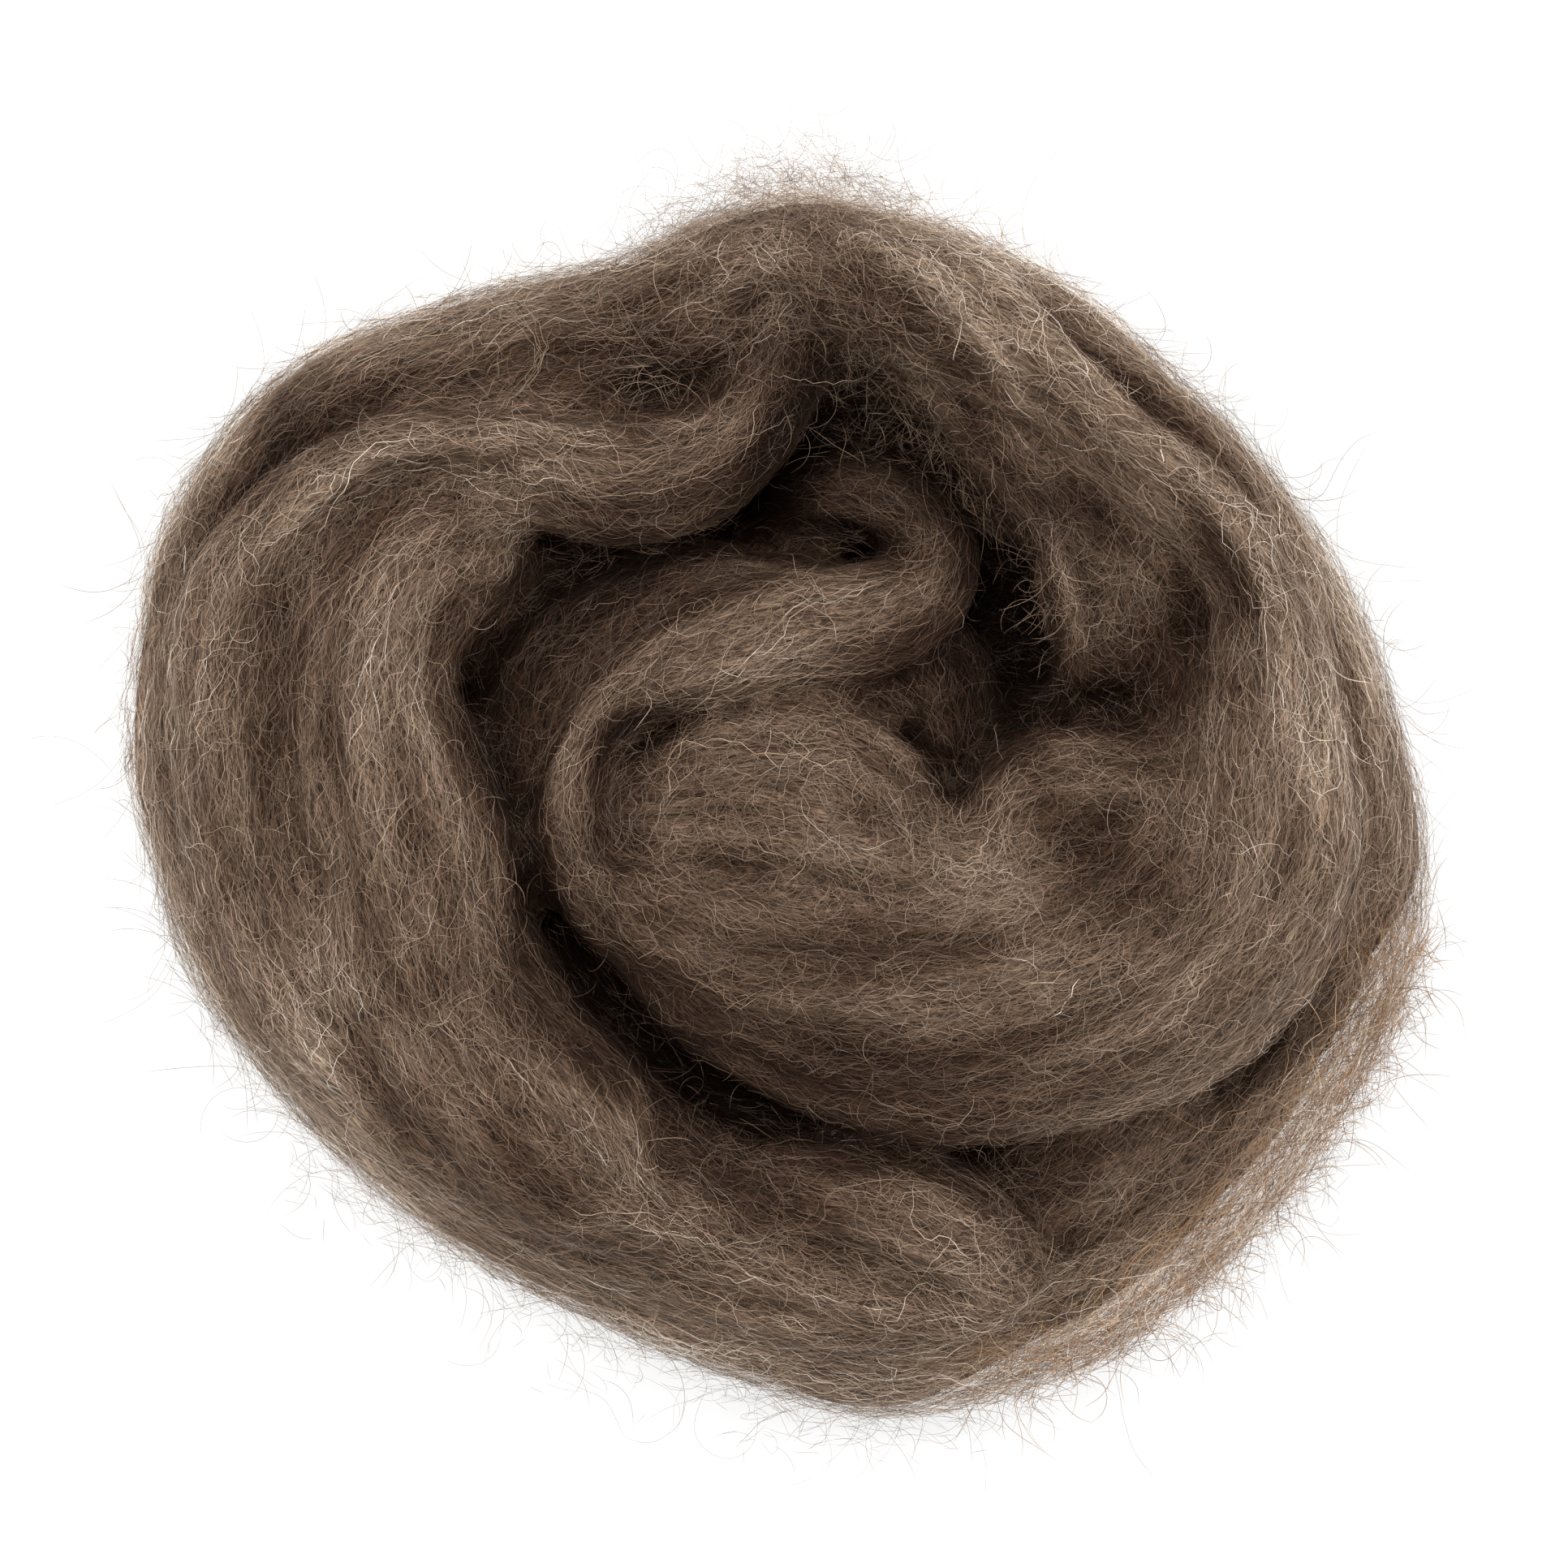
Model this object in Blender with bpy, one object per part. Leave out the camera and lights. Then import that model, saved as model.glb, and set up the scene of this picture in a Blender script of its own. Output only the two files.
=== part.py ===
"""Wool roving: one length of combed wool wound by hand into a loose nest that lies on a table.

The roving is swept turn by turn as soft elliptical bundles, the bundles are fused into one body,
and the body is cut flat where it rests. Lengths in the tables are millimetres; the model is in metres.
"""
import math
from collections import namedtuple

import bmesh
import bpy
from mathutils import Matrix, Vector

MM = 0.001

# ---- driving sizes ---------------------------------------------------------------------------
NEST_LENGTH = 150.0      # widest across the wound nest, along X
NEST_WIDTH = 141.0       # across, along Y
NEST_HEIGHT = 50.0       # tallest turn above the table
RING_STEP = 2.0          # spacing of the sections along a turn
RING_SIDES = 28          # points around a section
FUSE_VOXEL = 1.5         # how finely crossing turns are fused
SOFTEN_PASSES = 4        # rounding of the creases where turns meet
TRIANGLES = 9200         # faces kept on the finished body
END_TAPER = 0.9          # length of a rounded bundle end, as a share of its width

# One section of a turn: where its middle lies, its half width across, and its half height.
Section = namedtuple("Section", "x y z half_width half_height")

# The lower turns carry the nest; the upper turns and folds lie on them. The lower turns reach 1.5 below the table
# plane, which is the part that the table presses flat.
LOWER_TURNS = {
    "outer turn, from the top round the left": [
        (14, 58.5, 27, 9.5, 10), (0, 59.3, 24, 10.1, 13), (-14, 54.1, 19.5, 10.2, 16.5), (-30, 49.8, 17.5, 10, 18),
        (-45, 44.3, 16.5, 10, 17.5), (-54.6, 37.2, 15, 10.4, 16.5), (-61.7, 26.8, 14.5, 10.4, 16), (-63.8, 14, 14, 10.3, 15.5),
        (-64, 1, 14, 10.3, 15.5), (-60.6, -12, 14, 10.2, 15.5), (-54, -23.2, 13.5, 10.2, 15), (-44.7, -33.2, 13.5, 10.2, 15),
        (-32.2, -43, 13, 10.3, 14.5), (-17.8, -50.8, 13, 10.5, 14.5), (-3, -57, 13, 10.4, 14.5), (12, -60.6, 12, 10.8, 13.5),
    ],
    "outer turn, from the bottom up the right": [
        (-3, -57, 12.5, 10.2, 13.5), (12, -60.6, 12, 10.8, 13), (26.6, -58.8, 10.5, 10, 12), (39.5, -52, 9.5, 10, 11),
        (49.7, -41.8, 9, 9.5, 10.5), (58, -30, 10, 9.5, 11.5), (65.6, -18.3, 11.5, 9, 13), (66.5, -5, 14.5, 8.5, 15.5),
        (64.8, 7.5, 16, 8, 16.5), (59.8, 19, 16.5, 8, 16.5), (53.2, 29, 16.5, 8.5, 16.5), (45.3, 38, 15.5, 8.5, 16),
        (36, 46.7, 14.5, 8.5, 15.5), (25.6, 54.4, 13.5, 8.3, 15), (13.5, 58.6, 12.5, 8.7, 14), (2, 60, 11, 8.5, 12.5), (-11, 56, 9, 7, 10),
    ],
    "bed ring": [
        (-43, 0, 10.5, 13, 12), (-38, -22, 10.5, 13, 12), (-22, -38, 10.5, 13, 12), (0, -45, 10.5, 13, 12), (22, -44, 10.5, 12, 12),
        (40, -32, 10.5, 12, 12), (50, -12, 10.5, 12, 12), (50, 10, 10.5, 12, 12), (43, 29, 10.5, 11, 12), (28, 41, 10.5, 11, 12),
        (8, 46, 10.5, 11, 12), (-12, 45, 10.5, 11, 12), (-30, 37, 10.5, 12, 12), (-41, 20, 10.5, 13, 12),
    ],
    "inner bed": [
        (18, 36, 7.5, 5, 9), (4, 33, 8.5, 8, 10), (-10, 28, 8.5, 9, 10), (-21, 17, 8.5, 9, 10), (-25, 2, 8.5, 9, 10),
        (-20, -13, 8.5, 9, 10), (-7, -22, 9.5, 9, 11), (9, -24, 9.5, 10, 11), (25, -21, 9.5, 10, 11), (37, -12, 9.5, 10, 11),
        (38, 2, 8.5, 8, 10),
    ],
    "fill between the coil and the centre lump": [
        (-19.5, -12, 22.5, 4, 6), (-19.3, -5, 24.8, 4, 6.5), (-18.8, 1, 24.3, 3.8, 6.5), (-16.5, 7.2, 22.3, 4, 6),
        (-9, 10.8, 25, 4.3, 6.5), (0, 12.5, 25.5, 4.5, 6.5), (7, 12, 24, 4.5, 6.5), (13, 9, 19, 4, 6),
    ],
    "curtain below the coil": [
        (14.5, 19.5, 20.5, 4.5, 5.5), (18.5, 15.5, 19.5, 6.4, 5.5), (20.5, 10.5, 18.3, 6.6, 5.8),
        (21, 4.5, 16.3, 5.6, 5.8), (21.5, 0, 15.5, 4.5, 6),
    ],
    "foot of the pocket": [(16, 8, 18, 4, 6), (22, 7, 16.8, 4.5, 6), (28, 9, 14.5, 4.5, 6), (33, 12, 15, 4.5, 6)],
    "floor of the valley beside the third turn": [
        (-30.5, -3, 20, 4, 6), (-33, 5, 20.5, 4.2, 6), (-33.5, 12, 21.5, 4.5, 6), (-32, 18.5, 22.5, 4.5, 6.5),
        (-28, 24, 23, 4.5, 6.5), (-21, 28, 22.5, 3.5, 6),
    ],
    "floor inside the hook": [(-3, 31, 17, 3, 5), (4, 31.3, 20, 3.5, 5), (10, 30.4, 20.5, 3.2, 5)],
    "bed under the centre": [
        (-12, 8, 8.5, 9, 10), (0, 12, 9, 9, 10.5), (9, 6, 8.5, 8, 10), (8, -8, 8.5, 10, 10), (-6, -8, 8.5, 10, 10),
    ],
    "flat mat under the middle": [
        (-36, 2, 3.5, 16, 5), (-14, 3, 3.5, 32, 5), (14, 6, 3.5, 36, 5), (40, 6, 3.5, 24, 5),
    ],
    "saddle between the lumps": [
        (20, -13, 17, 8, 10), (20.5, -6, 14.5, 7, 9.5), (20.5, 1, 10, 6, 8), (21, 8, 5.5, 6, 6),
    ],
    "saddle behind the sagging fold": [
        (-42, 45.5, 23, 4, 7), (-28, 46.7, 27, 5.5, 7.5), (-17, 48.5, 28.5, 6.5, 7.5), (-7, 52, 29.5, 6.5, 7.5),
        (3, 57, 30, 6, 7),
    ],
    "slope outside the coil": [
        (-26.5, -7, 20.5, 4, 6.5), (-29, 1, 22, 4.5, 7), (-29.5, 9, 23.5, 6, 7.5), (-25.5, 16, 24.8, 6.8, 7.5),
        (-18.5, 21, 25.5, 6.8, 7.5), (-10.5, 24.3, 25.5, 6, 7.5), (-2, 26.3, 24, 4.5, 6.5),
    ],
    "saddle between the second and third turns": [
        (-40, 38.5, 29, 4, 7.5), (-47, 36.5, 30, 4.5, 7.5), (-53, 30.5, 31, 4.5, 7.5), (-56, 21, 31, 5, 8),
        (-57.3, 9, 31, 5, 8), (-56.5, -6, 30.5, 5, 8), (-53.5, -18, 29.5, 5, 8), (-48, -29, 28, 5, 8),
        (-38, -38, 26, 5, 7.5),
    ],
    "flank beside the groove": [
        (-33.5, -6, 25, 3.5, 8), (-31.5, -14, 25.5, 4.5, 8), (-27.5, -22, 25, 5, 8), (-21, -30.2, 24, 5, 8),
        (-12.5, -37.6, 22, 4.5, 8), (-3, -41.6, 21, 4.5, 8), (9, -44, 20, 4, 7.5),
    ],
    "core of the middle": [
        (-11, -10, 18.5, 8.5, 10), (2, -17, 22, 12, 10), (20, -19, 22.5, 12, 10), (36, -15, 23.5, 11, 10), (47, -4, 25, 10, 10),
        (51, 8, 26, 8, 10), (51, 20, 25, 7, 9),
    ],
}
UPPER_TURNS = {
    "sagging fold at the top": [
        (5, 59.5, 27.5, 5, 6), (3, 53.5, 29.5, 5.6, 7), (-0.3, 47, 33, 6.4, 7.5), (-5.3, 41, 36.3, 7.3, 8), (-12, 37.4, 38, 8.2, 8),
        (-19.5, 36.8, 38, 8.3, 8), (-27, 38.7, 37, 7.7, 8), (-35, 41, 35.5, 5.4, 8), (-42, 40.8, 34.5, 5, 8), (-49, 37.6, 33, 5.4, 8.5),
        (-56, 31.8, 31.5, 6, 9.5),
    ],
    "second turn": [
        (-49, 37.6, 33, 5.4, 8.5), (-56, 31.8, 31.5, 6, 9.5), (-60.8, 24.5, 30.5, 6.5, 10), (-62.8, 14, 29.7, 7, 10.5),
        (-62.5, 2, 29, 7.2, 11), (-59.7, -11, 28.3, 7.4, 11), (-54.5, -22.5, 27.5, 7.5, 11), (-46, -32, 26.5, 7.5, 10.5),
        (-35, -40.5, 26, 7.5, 10), (-21, -48.5, 25.5, 7.2, 9.5), (-6, -54, 25, 7, 9), (9, -57.5, 23.5, 7, 8.5),
        (22, -58, 19.5, 6.5, 7.5), (33, -54, 14.5, 6, 6.5),
    ],
    "third turn, folded under at its lip": [
        (-33.8, 28.3, 22, 6.5, 7), (-36, 28.6, 29, 8, 8.5), (-40, 27, 32, 9.6, 10), (-45.1, 20, 33.5, 9.9, 11), (-46.1, 11.5, 33.5, 10.6, 11.5),
        (-44.3, 3, 33.3, 12.2, 11.5), (-42.4, -5, 33, 13.2, 11.5), (-41.2, -14, 32.8, 12.3, 11.3), (-39, -23, 32.3, 11.7, 11),
        (-34.5, -32, 31.3, 11, 10.8), (-27, -39.8, 30, 10, 10.5), (-17, -45.8, 28, 8.5, 9.5), (-6, -50, 26.8, 7, 9), (6.5, -53.3, 25, 6.5, 8), (17, -57, 20.5, 6, 7.5),
    ],
    "end of the lip": [
        (-40, 32, 31, 5, 8), (-33.5, 31, 30.3, 5.6, 7.5), (-31.3, 27, 28.5, 4.6, 7), (-34, 22, 26, 4, 6.5),
    ],
    "thumb on the third turn": [
        (-36, -12, 33.5, 4, 7), (-32.5, -21, 34, 5, 7.5), (-27.3, -29, 34, 6, 7.5), (-21.8, -36, 33, 7, 7.5),
        (-19, -42, 31, 6.6, 6.8), (-17.3, -47.5, 27.5, 5.4, 5),
    ],
    "tongue at the bottom": [
        (-12, -43, 16, 5, 7), (-5, -44.3, 21.5, 6, 8.5), (4.5, -45.8, 26, 7, 9), (14.5, -47.2, 26.3, 7.6, 8.5), (22.5, -51.5, 23, 7, 7.5), (28.3, -57.5, 17, 6, 6),
    ],
    "main turn, round the right and over the top": [
        (-15.5, -17, 22, 5, 8), (-8.3, -23.8, 25.3, 5.6, 9), (3.7, -28.4, 27.5, 7.2, 10), (18, -30.6, 29.5, 8.6, 10.5), (31, -28.8, 30.5, 9.2, 10.5),
        (42.5, -24.5, 31.5, 9.6, 11), (52, -16.5, 32.5, 10.2, 11), (57.2, -6, 33.5, 10.4, 11.5), (57.2, 6, 34, 9, 11.5),
        (57, 16, 35, 7, 11.5), (55.8, 25, 36, 6.6, 11), (51, 33.2, 37, 7.2, 10.5), (44, 40, 38, 8.2, 10.5),
        (35.3, 46.8, 39, 8.4, 11), (25, 53.7, 38, 8.4, 11), (13.5, 59, 35, 8.2, 10.5), (3, 61.8, 31.5, 8, 9.5),
        (-8, 59.5, 27.5, 7.3, 8.5), (-18, 56, 23.5, 6.6, 7.5), (-28, 52.3, 20, 5.8, 7),
    ],
    "inner flank of the main turn": [
        (44, 33, 21, 4.5, 8), (48, 24, 20, 5, 9), (49, 14, 21, 5, 9.5), (49, 4, 27, 6, 9.5), (45.5, -5.5, 30, 6.8, 9.5),
        (38, -13, 30.5, 7.3, 9.5), (26, -18.2, 31, 8, 9.5), (12, -20, 31.5, 8, 9.5), (-2, -19, 31, 8, 9.5), (-12, -14.2, 29.5, 7, 9),
        (-19, -8, 28, 5, 8),
    ],
    "inner coil with its hooked end": [
        (-9, 29.8, 9, 3, 4), (-3, 32.6, 15, 4, 5.5), (3, 35, 20, 5, 6.5), (9, 35.4, 22, 5, 7), (14.6, 33.2, 23, 5, 7),
        (18, 28.8, 23.8, 5, 7), (17, 24.2, 25, 5.2, 7.4), (10.5, 21.2, 26.8, 6.6, 8), (1, 20.2, 28.3, 7.8, 8.5), (-8, 17.7, 29.5, 7.2, 8.5),
        (-15.5, 14, 29.5, 5.6, 8), (-21.5, 8, 29.5, 4.5, 7.5), (-24.2, 0, 29, 4.3, 7.5), (-22.9, -7.3, 28, 4.4, 7.5), (-18.5, -13.6, 26.8, 4.5, 7.5),
        (-11.5, -18.3, 25.8, 4.8, 7.5), (-3, -22.5, 26, 5, 7),
    ],
    "arch of the centre lump": [
        (-17, 0, 20, 4.5, 7), (-11.5, 4, 24, 5.5, 8), (-3, 5.7, 27, 6, 8.5), (6, 5.2, 27.5, 5.8, 8.5), (12.5, 1.3, 27, 5.5, 8),
        (15.6, -5, 25.5, 4.5, 7.5), (15.5, -12, 23, 4, 7),
    ],
    "body of the centre lump": [
        (-27, 1, 11, 7, 7), (-18, -2, 18, 9, 9.5), (-11, -2.5, 21, 10.5, 11.5), (-3, -2.5, 22, 11.5, 12),
        (10, -5.5, 23, 11, 12), (20, -9, 22.5, 9, 10.5), (31, -10, 20, 8, 9.5),
    ],
    "arch of the right lump": [
        (24, -6, 25, 4.2, 7), (25.8, 0.4, 26, 4.6, 7.5), (31, 3.1, 26.5, 5.6, 7.8), (39.5, 3, 27, 6, 8),
        (47, 0.8, 29, 5.6, 8), (50.5, -7, 31, 5.5, 8),
    ],
    "body of the right lump": [(23, -8, 21, 8, 11), (34, -4.5, 21.2, 10.5, 12), (43, -4, 22.5, 9, 12)],
    "slope under the web": [
        (12, 56, 24, 6, 8), (20.5, 48.5, 24, 7, 8), (28, 41, 24.5, 8, 8), (36, 34, 24, 8, 8),
        (43.5, 25.5, 24.5, 8, 8.5), (46, 16, 23.5, 7.5, 8.5), (43, 10, 20.5, 6, 8),
    ],
    "web over the far side of the pocket": [
        (18, 47, 17, 6, 6), (25.3, 39.5, 18, 5, 6), (32, 31, 18.5, 4.6, 6.5), (36.3, 23, 19, 5, 7),
        (37.3, 15, 18, 5.3, 7.5), (38, 8, 17, 6, 7),
    ],
    "mound beside the pocket": [
        (32, 30.5, 27, 2.6, 4), (33.2, 25, 27.3, 3.3, 5), (35, 19, 25.5, 4.2, 5), (36.5, 13, 22.5, 4, 5),
    ],
    "loose hook beside the mound": [
        (42.5, 36.5, 31, 2.2, 3.5), (43.8, 32, 30.5, 2.6, 4), (42.8, 28, 29.5, 2.6, 4),
        (38.5, 25.5, 28.3, 2.4, 3.5),
    ],
    "hollow below the top": [
        (6, 60, 25, 7, 7), (9, 54, 20, 8, 7.5), (12.5, 48, 15.5, 9, 7.5), (16, 42, 12, 8, 7), (19, 36, 9, 6, 6),
    ],
}
CLOSED_TURNS = {"bed ring"}


def blend(a, b, share):
    return [p + (q - p) * share for p, q in zip(a, b)]


def gap(a, b):
    return max(math.dist(a[:3], b[:3]) ** 0.5, 1e-6)


def smooth_turn(sections, closed):
    """Sections every RING_STEP along a smooth curve through the table's rows (centripetal Catmull-Rom)."""
    rows = [list(s) for s in sections]
    if closed:
        guide = [rows[-1]] + rows + [rows[0], rows[1]]
    else:
        guide = [blend(rows[1], rows[0], 2.0)] + rows + [blend(rows[-2], rows[-1], 2.0)]
    out = []
    for p0, p1, p2, p3 in zip(guide, guide[1:], guide[2:], guide[3:]):
        t1 = gap(p0, p1)
        t2 = t1 + gap(p1, p2)
        t3 = t2 + gap(p2, p3)
        steps = max(2, math.ceil(math.dist(p1[:3], p2[:3]) / RING_STEP))
        for k in range(steps):
            t = t1 + (t2 - t1) * k / steps
            a1 = blend(p0, p1, t / t1)
            a2 = blend(p1, p2, (t - t1) / (t2 - t1))
            a3 = blend(p2, p3, (t - t2) / (t3 - t2))
            b1 = blend(a1, a2, t / t2)
            b2 = blend(a2, a3, (t - t1) / (t3 - t1))
            out.append(Section(*blend(b1, b2, (t - t1) / (t2 - t1))))
    if not closed:
        out.append(Section(*rows[-1]))
    return out


def rounded(distance, taper):
    """How full a section is near a bundle's end: 0 at the tip, 1 past the taper."""
    q = min(max(distance / taper, 0.0), 1.0)
    return math.sqrt(max(1.0 - (1.0 - q) ** 2, 0.0004))


def sweep(bm, rows, closed):
    """One bundle: an elliptical section carried along its turn, its width kept level with the table."""
    sections = smooth_turn([Section(*r) for r in rows], closed)
    middles = [Vector((s.x, s.y, s.z)) for s in sections]
    count = len(sections)
    run = [0.0]
    for a, b in zip(middles, middles[1:]):
        run.append(run[-1] + (b - a).length)
    first_taper = max(sections[0].half_width * END_TAPER, 1.0)
    last_taper = max(sections[-1].half_width * END_TAPER, 1.0)
    rings = []
    for i, s in enumerate(sections):
        before = middles[i - 1] if closed or i else middles[0]
        after = middles[(i + 1) % count] if closed or i < count - 1 else middles[-1]
        along = (after - before).normalized()
        across = Vector((along.y, -along.x, 0.0)).normalized()
        up = across.cross(along)
        full = 1.0 if closed else rounded(run[i], first_taper) * rounded(run[-1] - run[i], last_taper)
        ring = []
        for k in range(RING_SIDES):
            turn = 2.0 * math.pi * k / RING_SIDES
            point = middles[i] + across * (s.half_width * full * math.cos(turn)) + up * (s.half_height * full * math.sin(turn))
            ring.append(bm.verts.new(point * MM))
        rings.append(ring)
    pairs = list(zip(rings, rings[1:])) + ([(rings[-1], rings[0])] if closed else [])
    for lower, upper in pairs:
        for k in range(RING_SIDES):
            n = (k + 1) % RING_SIDES
            bm.faces.new((lower[k], lower[n], upper[n], upper[k]))
    if not closed:
        bm.faces.new(list(reversed(rings[0])))
        bm.faces.new(rings[-1])


def clear_scene():
    for ob in list(bpy.data.objects):
        bpy.data.objects.remove(ob, do_unlink=True)


def wool_material():
    mat = bpy.data.materials.new("taupe wool")
    mat.use_nodes = True
    bsdf = mat.node_tree.nodes["Principled BSDF"]
    bsdf.inputs["Base Color"].default_value = (0.19, 0.145, 0.112, 1.0)
    bsdf.inputs["Roughness"].default_value = 0.85
    bsdf.inputs["Metallic"].default_value = 0.0
    return mat


def fused_turns():
    """All bundles in one mesh, fused and softened by modifiers."""
    bm = bmesh.new()
    for table in (LOWER_TURNS, UPPER_TURNS):
        for name, rows in table.items():
            sweep(bm, rows, name in CLOSED_TURNS)
    bmesh.ops.recalc_face_normals(bm, faces=bm.faces[:])
    mesh = bpy.data.meshes.new("turns")
    bm.to_mesh(mesh)
    bm.free()
    turns = bpy.data.objects.new("turns", mesh)
    bpy.context.scene.collection.objects.link(turns)
    fuse = turns.modifiers.new("fuse", "REMESH")
    fuse.mode = "VOXEL"
    fuse.voxel_size = FUSE_VOXEL * MM
    soften = turns.modifiers.new("soften", "SMOOTH")
    soften.factor = 0.5
    soften.iterations = SOFTEN_PASSES
    bpy.context.view_layer.update()
    body = bpy.data.meshes.new_from_object(turns.evaluated_get(bpy.context.evaluated_depsgraph_get()))
    bpy.data.objects.remove(turns, do_unlink=True)
    return body


def keep_largest_piece(mesh):
    """The fused skin also closes off small hollows inside; only the outer skin is kept."""
    bm = bmesh.new()
    bm.from_mesh(mesh)
    unseen = set(bm.verts)
    pieces = []
    while unseen:
        stack = [unseen.pop()]
        piece = list(stack)
        while stack:
            for edge in stack.pop().link_edges:
                for v in edge.verts:
                    if v in unseen:
                        unseen.discard(v)
                        stack.append(v)
                        piece.append(v)
        pieces.append(piece)
    pieces.sort(key=len)
    for piece in pieces[:-1]:
        bmesh.ops.delete(bm, geom=piece, context="VERTS")
    bm.to_mesh(mesh)
    bm.free()


def fit_to_size(mesh):
    """Centres the nest over the origin and brings it to its stated length and width."""
    xs = [v.co.x for v in mesh.vertices]
    ys = [v.co.y for v in mesh.vertices]
    middle = Vector(((min(xs) + max(xs)) / 2, (min(ys) + max(ys)) / 2, 0.0))
    sx = NEST_LENGTH * MM / (max(xs) - min(xs))
    sy = NEST_WIDTH * MM / (max(ys) - min(ys))
    sz = NEST_HEIGHT * MM / max(v.co.z for v in mesh.vertices)
    for v in mesh.vertices:
        v.co.x = (v.co.x - middle.x) * sx
        v.co.y = (v.co.y - middle.y) * sy
        v.co.z = v.co.z * sz


def press_flat(roving):
    """Cuts off what the table presses flat, everything below Z = 0."""
    bm = bmesh.new()
    bmesh.ops.create_cube(bm, size=1.0, matrix=Matrix.Translation((0.0, 0.0, 0.1)) @ Matrix.Diagonal((0.4, 0.4, 0.2, 1.0)))
    mesh = bpy.data.meshes.new("above the table")
    bm.to_mesh(mesh)
    bm.free()
    above = bpy.data.objects.new("above_the_table", mesh)
    above.hide_render = True
    above.display_type = "WIRE"
    bpy.context.scene.collection.objects.link(above)
    cut = roving.modifiers.new("press flat", "BOOLEAN")
    cut.operation = "INTERSECT"
    cut.solver = "EXACT"
    cut.object = above


def main():
    clear_scene()
    body = fused_turns()
    keep_largest_piece(body)
    fit_to_size(body)
    body.name = "roving"
    roving = bpy.data.objects.new("roving", body)
    bpy.context.scene.collection.objects.link(roving)
    body.materials.clear()
    body.materials.append(wool_material())
    body.shade_smooth()
    thin = roving.modifiers.new("thin", "DECIMATE")
    thin.decimate_type = "COLLAPSE"
    thin.ratio = TRIANGLES / (2 * len(body.polygons))
    press_flat(roving)
    bpy.context.view_layer.update()


main()
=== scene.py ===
"""Looks of the wool roving: the fused wound form, its combed fibres, strays and halo."""
import math
import time

import bmesh
import bpy
import numpy as np
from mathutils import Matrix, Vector
from mathutils.bvhtree import BVHTree


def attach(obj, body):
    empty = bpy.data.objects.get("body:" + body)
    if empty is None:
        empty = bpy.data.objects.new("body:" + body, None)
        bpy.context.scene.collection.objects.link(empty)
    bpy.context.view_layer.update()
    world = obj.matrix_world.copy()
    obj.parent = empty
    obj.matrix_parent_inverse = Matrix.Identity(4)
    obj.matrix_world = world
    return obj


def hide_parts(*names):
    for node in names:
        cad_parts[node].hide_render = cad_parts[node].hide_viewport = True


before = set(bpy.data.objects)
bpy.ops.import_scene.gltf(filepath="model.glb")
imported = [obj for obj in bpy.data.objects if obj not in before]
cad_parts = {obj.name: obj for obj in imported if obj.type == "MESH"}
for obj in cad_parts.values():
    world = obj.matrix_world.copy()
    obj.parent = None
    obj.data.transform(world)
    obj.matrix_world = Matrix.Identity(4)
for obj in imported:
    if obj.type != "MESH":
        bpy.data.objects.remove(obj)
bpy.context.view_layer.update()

T0 = time.perf_counter()
MM = 0.001
RNG = np.random.default_rng(7)

# ------------------------------------------------------------------ sizes
NEST_LENGTH, NEST_WIDTH, NEST_HEIGHT = 150.0, 141.0, 50.0
RING_STEP, RING_SIDES = 1.5, 40
FUSE_VOXEL = 1.2
END_TAPER = 0.9
TRI_LIMIT = 198_000

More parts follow.
